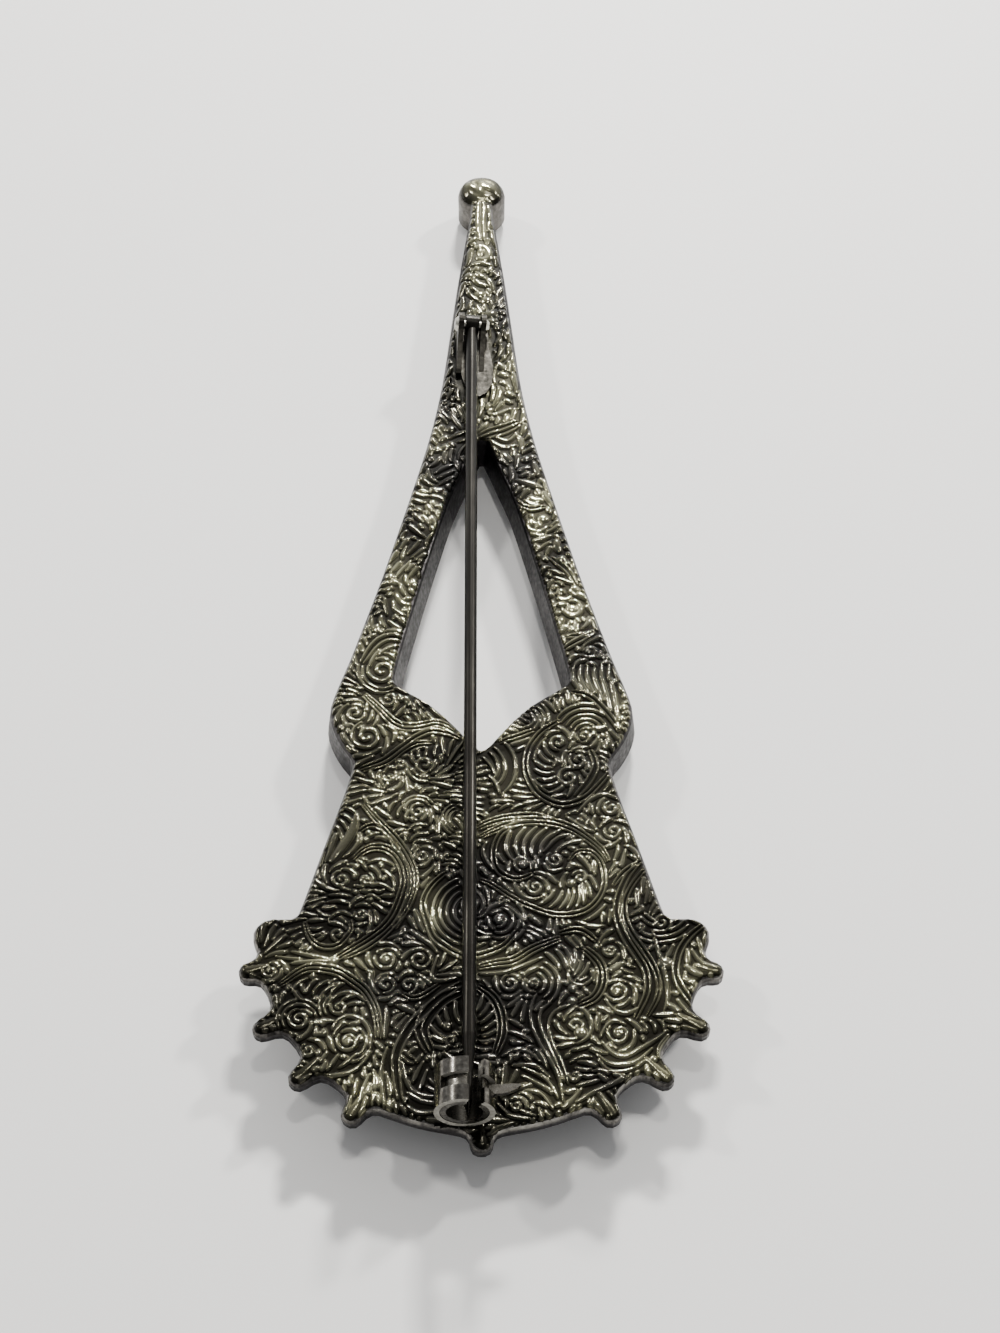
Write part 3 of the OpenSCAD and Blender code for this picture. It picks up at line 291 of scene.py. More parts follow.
# Zones brightened for rubbed wear and for painted highlights where the metal would glint: centre, half sizes, turn in
# degrees, how much.
WORN_AND_LIT = [
    (481, 186, 16, 10, 0, 1.0), (481, 215, 8, 18, 0, 0.8),
    (481, 245, 10, 78, 0, 1.0), (505, 385, 10, 40, -10, 1.0), (498, 405, 22, 34, 0, 0.85), (505, 425, 26, 26, 0, 0.95), (535, 520, 20, 60, -20, 0.95),
    (570, 610, 22, 60, -20, 1.0), (405, 590, 18, 50, 20, 0.95), (385, 655, 26, 28, 0, 0.95), (430, 510, 14, 30, 15, 0.7), (585, 715, 34, 40, -20, 0.55), (368, 716, 30, 26, 0, 0.8), (395, 800, 44, 30, 0, 0.6),
    (420, 730, 46, 12, 8, 1.0), (622, 712, 9, 24, 0, 0.95), (520, 736, 34, 9, -10, 0.75), (333, 961, 56, 12, 0, 0.95), (505, 962, 60, 12, -10, 0.9), (505, 824, 60, 14, 0, 0.8), (508, 796, 26, 44, 0, 0.5),
    (430, 905, 12, 36, 10, 0.7), (575, 900, 50, 18, -10, 0.6), (606, 850, 34, 66, -10, 0.55), (692, 985, 26, 34, -20, 0.9), (640, 1062, 54, 15, -30, 0.9), (560, 1098, 40, 14, -15, 0.7),
    (350, 1040, 40, 34, 0, 0.45), (617, 1000, 34, 40, 0, 0.5), (360, 1092, 30, 20, 0, 0.9), (380, 850, 40, 30, 20, 0.45),
    (580, 1030, 24, 20, 0, 0.5), (620, 1035, 30, 24, 0, 0.3), (560, 750, 36, 40, 0, 0.2), (437, 440, 12, 18, 0, 0.5),
]


def through(points, step=1.6):
    """A smooth curve through stations, as points a step apart, in pixels."""
    p = np.asarray(points, float)
    if len(p) == 2:
        n = max(int(np.hypot(*(p[1] - p[0])) / step), 2)
        return p[0] + (p[1] - p[0]) * np.linspace(0, 1, n)[:, None]
    out = []
    for i in range(len(p) - 1):
        a, b, c, d = p[max(i - 1, 0)], p[i], p[i + 1], p[min(i + 2, len(p) - 1)]
        n = max(int(np.hypot(*(c - b)) / step), 2)
        t = (np.arange(n) / n)[:, None]
        out.append(0.5 * (2 * b + (c - a) * t + (2 * a - 5 * b + 4 * c - d) * t ** 2 + (3 * b - a - 3 * c + d) * t ** 3))
    out.append(p[-1:])
    c = np.concatenate(out)
    for _ in range(min(12, len(c) // 2)):      # rounds off what is left of the corners
        c[1:-1] = 0.25 * c[:-2] + 0.5 * c[1:-1] + 0.25 * c[2:]
    return c


# ---------------------------------------------------------------- grid over the back, and the casting's own height there
STEP = 0.08                         # mm between the skin's points
X0, X1, Y0, Y1 = -19.9, 19.9, -56.0, 55.6
gx = np.arange(X0, X1, STEP)
gy = np.arange(Y0, Y1, STEP)
NX, NY = len(gx), len(gy)
XX, YY = np.meshgrid(gx, gy)
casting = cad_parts["casting"]
tree = BVHTree.FromObject(casting, bpy.context.evaluated_depsgraph_get())
base = np.full((NY, NX), np.nan)
down = Vector((0, 0, -1))
cup_zone = np.hypot(XX - CUP[0], YY - CUP[1]) < 2.5
half_width_at = np.interp(gy, [-56, -36, -34, -20, -14, 4, 25, 40, 52], [20, 20, 17, 13, 14, 10, 6, 4.5, 3])
for j in range(NY):
    for i in range(NX):
        if abs(gx[i]) > half_width_at[j]:
            continue
        hit = tree.ray_cast(Vector((gx[i] * MM, gy[j] * MM, 20 * MM)), down, 30 * MM)
        if hit[0] is None:
            continue
        z = hit[0].z / MM
        if cup_zone[j, i]:
            if z > 3.7:
                base[j, i] = z
        elif z > 4.65:
            base[j, i] = BACK_Z
        elif z > 4.15:
            base[j, i] = z
inside = ~np.isnan(base)


def soft_noise(x, y, waves, seed):
    """Sum of sines with lengths between two values, about -1 to 1."""
    g = np.random.default_rng(seed)
    v = np.zeros_like(x)
    for _ in range(12):
        length = g.uniform(*waves)
        a, ph = g.uniform(0, 2 * np.pi, 2)
        v += np.sin((x * np.cos(a) + y * np.sin(a)) * 2 * np.pi / length + ph)
    return v / 4.0


# ---------------------------------------------------------------- the strokes, pressed one after another
FLOOR = -0.30                       # how low the grooves go, as a share of the relief
rise = np.full((NY, NX), FLOOR)
near = np.full((NY, NX), 3.0)       # distance to the nearest stroke's flank
REACH = 1.0
SEEDS = []                          # where leaves may start


def press(p, w, h):
    """Raises one ridge along points p in mm, with half widths w and heights h."""
    for i in range(len(p) - 1):
        (x0, y0), (x1, y1) = p[i], p[i + 1]
        ia, ib = np.searchsorted(gx, (min(x0, x1) - REACH, max(x0, x1) + REACH))
        ja, jb = np.searchsorted(gy, (min(y0, y1) - REACH, max(y0, y1) + REACH))
        if ia >= ib or ja >= jb:
            continue
        px, py = gx[ia:ib][None, :], gy[ja:jb][:, None]
        dx, dy = x1 - x0, y1 - y0
        t = np.clip(((px - x0) * dx + (py - y0) * dy) / max(dx * dx + dy * dy, 1e-9), 0, 1)
        d = np.hypot(px - x0 - t * dx, py - y0 - t * dy)
        wide = w[i] + (w[i + 1] - w[i]) * t
        u = d / wide
        ridge = np.maximum((h[i] + (h[i + 1] - h[i]) * t) * (1 - 0.58 * np.minimum(u, 3) ** 2.1), FLOOR)
        rise[ja:jb, ia:ib] = np.maximum(rise[ja:jb, ia:ib], ridge)
        near[ja:jb, ia:ib] = np.minimum(near[ja:jb, ia:ib], np.maximum(d - wide, 0))


def at(field, p):
    i = np.clip(np.rint((p[:, 0] - X0) / STEP).astype(int), 0, NX - 1)
    j = np.clip(np.rint((p[:, 1] - Y0) / STEP).astype(int), 0, NY - 1)
    return field[j, i]


def stroke(px, half_width, rise_to, blunt=0.35, over=False, full=1.36):
    """One ridge along a curve in pixels; its ends taper, and it stops at what is there already."""
    scale = mm_per_px(*px[len(px) // 2])
    p = on_back(px)
    t = np.linspace(0, 1, len(p))
    taper = blunt + (1 - blunt) * np.sin(np.pi * np.clip(t, 0.0, 1.0)) ** 0.5
    w = full * half_width * scale * taper
    h = rise_to * (0.55 + 0.45 * taper)
    if over or len(p) < 4:
        press(p, w, h)
        return p
    free = at(near, p) > 0.55 * w
    start = None
    for i in range(len(p) + 1):
        if i < len(p) and free[i]:
            start = i if start is None else start
        elif start is not None:
            if np.hypot(*np.diff(p[start:i], axis=0).T).sum() > 0.6:
                press(p[start:i], w[start:i], h[start:i])
            start = None
    return p


def beside(p, off, every=0.55):
    """Seeds for leaves along both sides of a line."""
    run = np.concatenate([[0], np.cumsum(np.hypot(*np.diff(p, axis=0).T))])
    d = np.gradient(p, axis=0)
    d /= np.maximum(np.hypot(d[:, 0], d[:, 1]), 1e-6)[:, None]
    for s in np.arange(0.3, run[-1], every):
        i = min(int(np.searchsorted(run, s)), len(p) - 1)
        for side in (-1, 1):
            SEEDS.append((p[i, 0] - side * off * d[i, 1], p[i, 1] + side * off * d[i, 0]))


def stem(text, lines, spacing, half_width, rise_to):
    c = through([tuple(float(v) for v in s.split(",")) for s in text.split()])
    d = np.gradient(c, axis=0)
    d /= np.maximum(np.hypot(d[:, 0], d[:, 1]), 1e-6)[:, None]
    normal = np.stack([-d[:, 1], d[:, 0]], axis=1)
    for k in range(lines):
        off = (k - (lines - 1) / 2) * spacing * 1.14
        # a bundle draws together at its ends
        t = np.linspace(0, 1, len(c))
        gather = 0.55 + 0.45 * np.sin(np.pi * t) ** 0.6
        p = stroke(c + normal * (off * gather)[:, None], half_width, rise_to * (0.92 if k == lines // 2 else 0.8), 0.35, lines > 1, 0.62 if lines > 1 else 1.18)
        if k in (0, lines - 1):
            beside(p, 0.46)


def spiral(cx, cy, r, turns, hand, outer, rise_to):
    n = int(14 * turns * max(r, 6) / 8)
    t = np.linspace(1, 0.12, n)
    a = np.radians(outer) - hand * (1 - t) * turns * 2 * np.pi
    # the picture sees the back from 52.5 degrees, so a round scroll is a flat oval in it
    px = np.stack([cx + r * t * np.cos(a), cy + r * t * np.sin(a) * 0.86], axis=1)
    beside(stroke(px, 1.5, rise_to, 0.5), 0.40)


def arcs(cx, cy, radii, a0, a1, half_width, rise_to):
    for k, r in enumerate(radii):
        trim = 6 * k
        a = np.radians(np.linspace(a0 + trim * 0.5, a1 - trim * 0.5, max(int(r * abs(a1 - a0) / 100), 6)))
        stroke(np.stack([cx + r * np.cos(a), cy + r * np.sin(a) * 0.9], axis=1), half_width * 0.85, rise_to)


def plume(text, eye, count, length, sweep, half_width, rise_to):
    """Comma-shaped leaves that leave a rib and turn in towards an eye."""
    c = through([tuple(float(v) for v in s.split(",")) for s in text.split()])
    along = np.gradient(c, axis=0)
    along /= np.maximum(np.hypot(along[:, 0], along[:, 1]), 1e-6)[:, None]
    for k in range(count):
        i = int((k + 0.5) / count * (len(c) - 1))
        p, t = c[i], along[i] * np.sign(sweep)
        e = np.array(eye, float) - p
        reach = min(length, 0.85 * np.hypot(*e))
        e /= max(np.hypot(*e), 1e-6)
        inward = np.array((-along[i][1], along[i][0]))
        inward *= np.sign(inward @ e)
        e = 0.55 * inward + 0.45 * e
        e /= np.hypot(*e)
        b = abs(sweep)
        p = p + e * 2.0
        stroke(through([p, p + (e * 0.30 + t * 0.42 * b) * reach, p + (e * 0.68 + t * 0.62 * b) * reach, p + (e * 1.0 + t * 0.50 * b) * reach]),
               half_width * 0.92, rise_to, 0.4)


for row in STEMS:
    if row[1] > 1:
        stem(*row)
for row in SPIRALS:
    spiral(*row)
for x, y, r, rise_to in BEADS:
    stroke(np.array([(x - 0.4, y), (x + 0.4, y)]), r * 0.9, rise_to, 1.0, True)
for row in STEMS:
    if row[1] == 1:
        stem(*row)
for k in range(6):     # strokes that flow down the foot of the right arm
    stem("%g,%g %g,%g %g,%g %g,%g" % (574 + 7 * k, 666, 571 + 7.4 * k, 675, 576 + 7.6 * k, 686 + 1.5 * k, 588 + 6 * k, 698 + 5 * k), 1, 0, 1.9, 0.95)
for row in PLUMES:
    plume(*row)
for row in ARCS:
    arcs(*row)
# a low line runs out along each claw's lobe: claw's angle on the fan, how far out its tip is
CLAW_TIPS = [(-13, 19.55), (-28.4, 20.0), (-43.8, 20.05), (-59.2, 19.8), (-90, 19.45),
             (-120.8, 19.8), (-136.2, 20.05), (-151.6, 20.0), (-167, 19.55)]
for a, tip in CLAW_TIPS:
    r = np.linspace(17.3, tip - 0.55, 7)
    ca, sa = math.cos(math.radians(a)), math.sin(math.radians(a))
    press(np.stack([FAN[0] + r * ca, FAN[1] + r * sa], axis=1), np.linspace(0.16, 0.26, 7), np.linspace(0.5, 0.3, 7))

# ---------------------------------------------------------------- leaves that fill the ground
# They stream out from the nearest spiral's eye, first round it and then away from it.
flow_x, flow_y, reach_to = np.zeros((NY, NX)), np.ones((NY, NX)), np.full((NY, NX), 1e9)
waver = (0.22 + 0.5 * np.clip((YY + 12) / 8, 0, 1)) * soft_noise(XX, YY, (3.5, 8), 5)
for cx, cy, r, turns, hand, outer, rise_to in SPIRALS:
    ex, ey = on_back([(cx, cy)])[0]
    d = np.hypot(XX - ex, YY - ey) + 1e-6
    past = d - r * mm_per_px(cx, cy)
    closer = past < reach_to
    reach_to[closer] = past[closer]
    turn = np.radians(86 - 62 * np.clip(past / 2.4, 0, 1)) + waver
    ux, uy = (XX - ex) / d, (YY - ey) / d
    flow_x[closer] = (np.cos(turn) * ux + hand * np.sin(turn) * uy)[closer]
    flow_y[closer] = (np.cos(turn) * uy - hand * np.sin(turn) * ux)[closer]
pace = 0.12
pick = random.Random(4)


def open_at(x, y, clear):
    i, j = int(round((x - X0) / STEP)), int(round((y - Y0) / STEP))
    return 0 <= i < NX and 0 <= j < NY and inside[j, i] and near[j, i] > clear * size_at(y)


def size_at(y):
    """Leaves are larger on the arms and the neck."""
    return 1.0 + 0.20 * min(max((y + 14.0) / 12.0, 0.0), 1.0)


def leaf(x, y, longest, shortest, clear):
    """Grows one leaf both ways from a point while the ground is open, and presses it."""
    if not open_at(x, y, clear):
        return None
    halves = []
    for sign, share in ((1, 0.55), (-1, 0.5)):
        px, py, part = x, y, []
        while len(part) * pace < longest * share:
            i, j = int(round((px - X0) / STEP)), int(round((py - Y0) / STEP))
            px, py = px + sign * pace * flow_x[j, i], py + sign * pace * flow_y[j, i]
            if not open_at(px, py, clear if len(part) < 2 or sign > 0 else clear * 0.72):
                break
            part.append((px, py))
        halves.append(part)
    line = np.array(halves[1][::-1] + [(x, y)] + halves[0])
    if (len(line) - 1) * pace < shortest:
        return None
    t = np.linspace(0, 1, len(line))
    w = (0.085 + 0.14 * t ** 0.6 * np.sqrt(np.clip((1.0 - t) / 0.2, 0.3, 1))) * size_at(y)
    h = (0.55 + 0.40 * t ** 0.5) * pick.uniform(0.78, 1.0)
    press(line, w, h)
    return line


queue = list(SEEDS)
pick.shuffle(queue)
at_once = 0
while at_once < len(queue) and at_once < 24000:
    x, y = queue[at_once]
    at_once += 1
    grown = leaf(x, y, pick.uniform(2.0, 3.4), 1.5 if at_once < 7000 else 1.0, 0.265)
    if grown is not None:
        for k in (0.25, 0.5, 0.8):
            i = int(k * (len(grown) - 2))
            (ax, ay), (bx, by) = grown[i], grown[i + 1]
            for off in (0.46 * size_at(y), -0.46 * size_at(y)):
                queue.append((ax - off * (by - ay) / pace, ay + off * (bx - ax) / pace))
# what is still open gets short ones
for longest, shortest, clear in ((2.6, 1.2, 0.255), (1.8, 0.7, 0.25), (1.0, 0.35, 0.24)):
    spots = np.argwhere(inside & (near > clear))
    order = np.random.default_rng(8).permutation(len(spots))
    for j, i in spots[order]:
        if near[j, i] > clear * size_at(gy[j]):
            leaf(gx[i], gy[j], longest, shortest, clear)

# ---------------------------------------------------------------- height field over the back
edge = np.zeros((NY, NX))
grown = inside.copy()
for k in range(6):
    edge[grown] = k + 1
    g = grown.copy()
    g[1:] &= grown[:-1]; g[:-1] &= grown[1:]; g[:, 1:] &= grown[:, :-1]; g[:, :-1] &= grown[:, 1:]
    grown = g
taper = np.clip((edge - 1) * STEP / 0.32, 0, 1)
taper = taper * taper * (3 - 2 * taper)

# the cup's cap is lumpy rather than lined
lumps = np.clip(0.5 + 0.55 * soft_noise(XX, YY, (0.9, 2.2), 21), 0, 1) * np.clip(1.15 - np.hypot(XX - CUP[0], YY - CUP[1] + 0.4) / 2.6, 0, 1)
rise = np.where(cup_zone & (YY > CUP[1] - 2.0), lumps, rise)
# the hinge's foot stands on plain metal
foot = np.clip(np.hypot((XX + 0.8) / 2.1, (YY - 27.2) / 5.6) * 4 - 3.6, 0, 1)
rise = rise * foot + FLOOR * 0.5 * (1 - foot)

RISE_MM = 0.18
swell = 0.042 * soft_noise(XX, YY, (3.0, 8.0), 11) + 0.012 * soft_noise(XX, YY, (1.0, 2.0), 12)
grain = 0.03 * rng.standard_normal((NY, NX)) * STEP
z = base + taper * np.maximum(0.070 + RISE_MM * rise + swell + grain, 0.012) - (1 - taper) * 0.07

# this field brightens the relief's colour in the zones above: rubbed wear together with painted highlights standing in
# for glints
wear_and_sheen = np.zeros((NY, NX))
for cx, cy, rx, ry, a, much in WORN_AND_LIT:
    c = on_back([(cx, cy)])[0]
    s = mm_per_px(cx, cy)
    ca, sa = math.cos(math.radians(a)), math.sin(math.radians(a))
    u, v = XX - c[0], YY - c[1]
    u, v = u * ca + v * sa, -u * sa + v * ca
    wear_and_sheen = np.maximum(wear_and_sheen, much * np.exp(-((u / (rx * s)) ** 2 + (v / (ry * s / 0.8)) ** 2) * 0.9))


def skin(name, y_from, y_to):
    """One piece of the relief, between two heights of the picture."""
    ja, jb = np.searchsorted(gy, (y_from - 1e-6, y_to - 1e-6))
    jb = min(jb + 1, NY)
    ok = inside[ja:jb]
    quad = ok[:-1, :-1] & ok[:-1, 1:] & ok[1:, :-1] & ok[1:, 1:]
    used = np.zeros_like(ok)
    used[:-1, :-1] |= quad; used[:-1, 1:] |= quad; used[1:, :-1] |= quad; used[1:, 1:] |= quad
    number = -np.ones(ok.shape, int)
    number[used] = np.arange(used.sum())
    verts = np.stack([XX[ja:jb][used], YY[ja:jb][used], z[ja:jb][used]], axis=1) * MM
    q = np.argwhere(quad)
    j, i = q[:, 0], q[:, 1]
    faces = np.stack([number[j, i], number[j, i + 1], number[j + 1, i + 1], number[j + 1, i]], axis=1)
    mesh = bpy.data.meshes.new(name)
    mesh.vertices.add(len(verts))
    mesh.vertices.foreach_set("co", verts.astype(np.float32).ravel())
    mesh.loops.add(faces.size)
    mesh.loops.foreach_set("vertex_index", faces.astype(np.int32).ravel())
    mesh.polygons.add(len(faces))
    mesh.polygons.foreach_set("loop_start", np.arange(0, faces.size, 4, dtype=np.int32))
    mesh.polygons.foreach_set("loop_total", np.full(len(faces), 4, dtype=np.int32))
    mesh.update(calc_edges=True)
    mesh.shade_smooth()
    for label, field in (("relief", (rise - FLOOR) / (1 - FLOOR) * taper), ("wear_and_sheen", wear_and_sheen)):
        a = mesh.attributes.new(label, "FLOAT", "POINT")
        a.data.foreach_set("value", field[ja:jb][used].astype(np.float32))
    obj = bpy.data.objects.new(name, mesh)
    scene.collection.objects.link(obj)
    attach(obj, "brooch")
    return obj


skins = [skin("relief_neck", 17.0, 56.0), skin("relief_arms", -9.0, 17.0), skin("relief_shoulders", -22.0, -9.0),
         skin("relief_body", -36.0, -22.0), skin("relief_fan", -56.0, -36.0)]

# ---------------------------------------------------------------- materials


class Nodes:
    """Short hand for a node-based material."""

    def __init__(self, name):
        self.m = bpy.data.materials.new(name)
        self.m.use_nodes = True
        self.t = self.m.node_tree
        self.p = self.t.nodes["Principled BSDF"]
        self.coord = self.new("ShaderNodeTexCoord").outputs["Object"]

    def new(self, kind, **sockets):
        n = self.t.nodes.new(kind)
        for k, v in sockets.items():
            self.put(n.inputs[k.replace("_", " ")], v)
        return n

    def put(self, socket, value):
        if isinstance(value, bpy.types.NodeSocket):
            self.t.links.new(value, socket)
        else:
            socket.default_value = value

    def noise(self, scale, detail=3.0, rough=0.55, stretch=None):
        n = self.new("ShaderNodeTexNoise", Scale=scale, Detail=detail, Roughness=rough)
        v = self.coord
        if stretch:
            mp = self.new("ShaderNodeMapping")
            mp.inputs["Scale"].default_value = stretch
            self.put(mp.inputs["Vector"], v)
            v = mp.outputs[0]
        self.put(n.inputs["Vector"], v)
        return n.outputs[0]

    def math(self, op, a, b=0.0, clamp=False):
        n = self.t.nodes.new("ShaderNodeMath")
        n.operation = op
        n.use_clamp = clamp
        self.put(n.inputs[0], a)
        self.put(n.inputs[1], b)
        return n.outputs[0]

    def ramp(self, value, stops):
        n = self.t.nodes.new("ShaderNodeValToRGB")
        while len(n.color_ramp.elements) < len(stops):
            n.color_ramp.elements.new(0.5)
        for e, (pos, col) in zip(n.color_ramp.elements, stops):
            e.position = pos
            e.color = (*col, 1) if len(col) == 3 else col
        self.put(n.inputs[0], value)
        return n.outputs[0]

    def mix(self, f, a, b):
        n = self.t.nodes.new("ShaderNodeMix")
        n.data_type = "RGBA"
        self.put(n.inputs["Factor"], f)
        self.put(n.inputs[6], a)
        self.put(n.inputs[7], b)
        return n.outputs[2]

    def bump(self, height, distance, strength=1.0, before=None):
        n = self.new("ShaderNodeBump", Height=height, Distance=distance, Strength=strength)
        if before is not None:
            self.put(n.inputs["Normal"], before)
        return n.outputs[0]

    def finish(self, colour, rough, metallic, normal=None):
        self.put(self.p.inputs["Base Color"], colour)
        self.put(self.p.inputs["Roughness"], rough)
        self.put(self.p.inputs["Metallic"], metallic)
        if normal is not None:
            self.put(self.p.inputs["Normal"], normal)
        return self.m


def relief_material():
    n = Nodes("antiqued_relief")
    at = n.new("ShaderNodeAttribute"); at.attribute_name = "relief"
    sheen_wear_attr = n.new("ShaderNodeAttribute"); sheen_wear_attr.attribute_name = "wear_and_sheen"
    speck = n.noise(5200.0, 3.0)
    cloud = n.noise(420.0, 4.0)
    h = n.math("ADD", at.outputs["Fac"], n.math("MULTIPLY", n.math("SUBTRACT", speck, 0.5), 0.30))
    h = n.math("ADD", h, n.math("MULTIPLY", n.math("SUBTRACT", cloud, 0.5), 0.35))
    plain = n.ramp(h, [(0.12, (0.0028, 0.0026, 0.0020)), (0.32, (0.0095, 0.0089, 0.0066)), (0.56, (0.034, 0.0320, 0.0235)), (0.95, (0.082, 0.078, 0.057))])
    # the brighter colour for those zones: rubbed wear with painted highlights
    worn_and_lit_colour = n.ramp(h, [(0.08, (0.020, 0.019, 0.012)), (0.28, (0.090, 0.086, 0.052)), (0.50, (0.23, 0.222, 0.136)), (0.95, (0.46, 0.445, 0.28))])
    # some of the plain metal has a cooler, violet grey cast
    cool = n.ramp(h, [(0.12, (0.0027, 0.0025, 0.0027)), (0.32, (0.0092, 0.0084, 0.0092)), (0.56, (0.034, 0.0312, 0.0345)), (0.95, (0.088, 0.082, 0.089))])
    plain = n.mix(n.ramp(n.noise(95.0, 2.0), [(0.47, (0.0,) * 3), (0.62, (0.5,) * 3)]), plain, cool)
    colour = n.mix(sheen_wear_attr.outputs["Fac"], plain, worn_and_lit_colour)
    rough = n.ramp(h, [(0.15, (0.46,) * 3), (0.40, (0.22,) * 3), (0.75, (0.11,) * 3)])
    bump = n.bump(speck, 0.00002, 0.45)
    return n.finish(colour, rough, 1.0, bump)


def side_material():
    n = Nodes("antiqued_side")
    speck = n.noise(2600.0, 4.0)
    cloud = n.noise(330.0, 4.0)
    f = n.math("ADD", speck, n.math("MULTIPLY", n.math("SUBTRACT", cloud, 0.5), 0.6))
    mottle = n.math("ADD", n.math("MULTIPLY", speck, 0.3), n.math("MULTIPLY", cloud, 0.7))
    wall = n.ramp(mottle, [(0.34, (0.009, 0.0083, 0.0090)), (0.50, (0.0195, 0.0180, 0.0192)), (0.68, (0.046, 0.0425, 0.0445))])
    cup_wall = n.ramp(mottle, [(0.34, (0.05, 0.047, 0.044)), (0.50, (0.10, 0.095, 0.088)), (0.68, (0.19, 0.18, 0.165))])
    # the soldered bracket and housing stand above the back and are smoother and darker
    xyz = n.new("ShaderNodeSeparateXYZ", Vector=n.coord)
    wall = n.mix(n.math("DIVIDE", n.math("SUBTRACT", xyz.outputs[1], 0.047), 0.004, clamp=True), wall, cup_wall)
    above = n.math("DIVIDE", n.math("SUBTRACT", xyz.outputs[2], 0.00466), 0.0001, clamp=True)
    # the walls' upper edge is painted lighter in patches, a painted highlight along the rim, strong on the fan and
    # faint on the other walls
    on_fan = n.math("DIVIDE", n.math("SUBTRACT", -0.034, xyz.outputs[1]), 0.004, clamp=True)
    lip_glint = n.math("MULTIPLY", n.math("DIVIDE", n.math("SUBTRACT", xyz.outputs[2], 0.0038), 0.0007, clamp=True),
                 n.math("ADD", 0.08, n.math("MULTIPLY", on_fan, 0.72)))
    lip_glint_colour = n.ramp(mottle, [(0.34, (0.055, 0.052, 0.047)), (0.50, (0.16, 0.152, 0.138)), (0.66, (0.40, 0.385, 0.345))])
    wall = n.mix(n.math("MULTIPLY", lip_glint, n.ramp(mottle, [(0.38, (0.30,) * 3), (0.54, (1.0,) * 3)])), wall, lip_glint_colour)
    bracket = n.ramp(f, [(0.30, (0.012, 0.0113, 0.0093)), (0.60, (0.030, 0.028, 0.0235)), (0.95, (0.09, 0.085, 0.070))])
    facing = n.new("ShaderNodeSeparateXYZ", Vector=n.new("ShaderNodeNewGeometry").outputs["Normal"])
    # faces turned towards -y, the side the camera sees, get a lighter grey below: painted light on the catch's front
    # face
    end = n.math("GREATER_THAN", n.math("MULTIPLY", facing.outputs[1], -1.0), 0.7)
    round_it = n.ramp(f, [(0.30, (0.04, 0.037, 0.033)), (0.55, (0.115, 0.108, 0.095)), (0.80, (0.26, 0.248, 0.215))])
    front_face_light = n.ramp(f, [(0.30, (0.22, 0.21, 0.182)), (0.55, (0.32, 0.305, 0.265)), (0.80, (0.42, 0.40, 0.35))])
    hinge_end = n.math("DIVIDE", xyz.outputs[1], 0.001, clamp=True)
    colour = n.mix(above, wall, n.mix(hinge_end, n.mix(end, round_it, front_face_light), bracket))
    ring_rough = n.mix(end, n.ramp(f, [(0.3, (0.20,) * 3), (0.7, (0.12,) * 3)]), (0.6, 0.6, 0.6, 1))
    polish = n.mix(hinge_end, ring_rough, n.ramp(f, [(0.3, (0.54,) * 3), (0.7, (0.36,) * 3)]))
    rough = n.mix(above, n.mix(lip_glint, n.ramp(f, [(0.3, (0.55,) * 3), (0.7, (0.38,) * 3)]), (0.22, 0.22, 0.22, 1)), polish)
    on_catch = n.math("MULTIPLY", n.math("MULTIPLY", above, end), n.math("SUBTRACT", 1.0, hinge_end))
    metal = n.math("SUBTRACT", 1.0, n.math("MULTIPLY", on_catch, 0.55))
    pits = n.math("SUBTRACT", 1.0, n.math("MULTIPLY", above, 0.75))
    normal = n.bump(cloud, 0.00008, n.math("MULTIPLY", pits, 0.6), n.bump(speck, 0.00002, n.math("MULTIPLY", pits, 0.7)))
    return n.finish(colour, rough, metal, normal)


def wire_material():
    n = Nodes("pin_wire")
    streak = n.noise(1500.0, 3.0, 0.6, (1.0, 0.04, 1.0))
    patch = n.noise(260.0, 4.0)
    f = n.math("ADD", n.math("MULTIPLY", streak, 0.6), n.math("MULTIPLY", patch, 0.4))
    colour = n.ramp(f, [(0.32, (0.0055, 0.0051, 0.0045)), (0.5, (0.0105, 0.0097, 0.0085)), (0.70, (0.026, 0.0245, 0.0210))])
    rough = n.ramp(f, [(0.3, (0.44,) * 3), (0.7, (0.28,) * 3)])
    normal = n.bump(streak, 0.00002, 0.6)
    return n.finish(colour, rough, 1.0, normal)


def fitting_material():
    n = Nodes("catch_ring")
    speck, cloud = n.noise(2600.0, 4.0), n.noise(330.0, 4.0)
    f = n.math("ADD", speck, n.math("MULTIPLY", n.math("SUBTRACT", cloud, 0.5), 0.6))
    colour = n.ramp(f, [(0.30, (0.045, 0.042, 0.036)), (0.55, (0.12, 0.113, 0.098)), (0.80, (0.30, 0.285, 0.245))])
    return n.finish(colour, n.ramp(f, [(0.3, (0.38,) * 3), (0.7, (0.18,) * 3)]), 1.0, n.bump(speck, 0.00002, 0.5))


def rivet_material():
    n = Nodes("rivet")
    cloud = n.noise(1400.0, 3.0)
    colour = n.ramp(cloud, [(0.3, (0.30, 0.29, 0.25)), (0.7, (0.66, 0.64, 0.56))])
    return n.finish(colour, n.ramp(cloud, [(0.3, (0.34,) * 3), (0.7, (0.18,) * 3)]), 1.0, n.bump(cloud, 0.00003, 0.6))


def crystal_material():
    n = Nodes("cut_crystal")
    cloud = n.noise(500.0, 2.0)
    colour = n.ramp(cloud, [(0.3, (0.93, 0.94, 0.95)), (0.7, (0.99, 0.99, 1.0))])
    rough = n.ramp(cloud, [(0.35, (0.01,) * 3), (0.7, (0.06,) * 3)])
    n.p.inputs["Transmission Weight"].default_value = 0.9
    n.p.inputs["IOR"].default_value = 1.56
    return n.finish(colour, rough, 0.0, n.bump(cloud, 0.00001, 0.3))


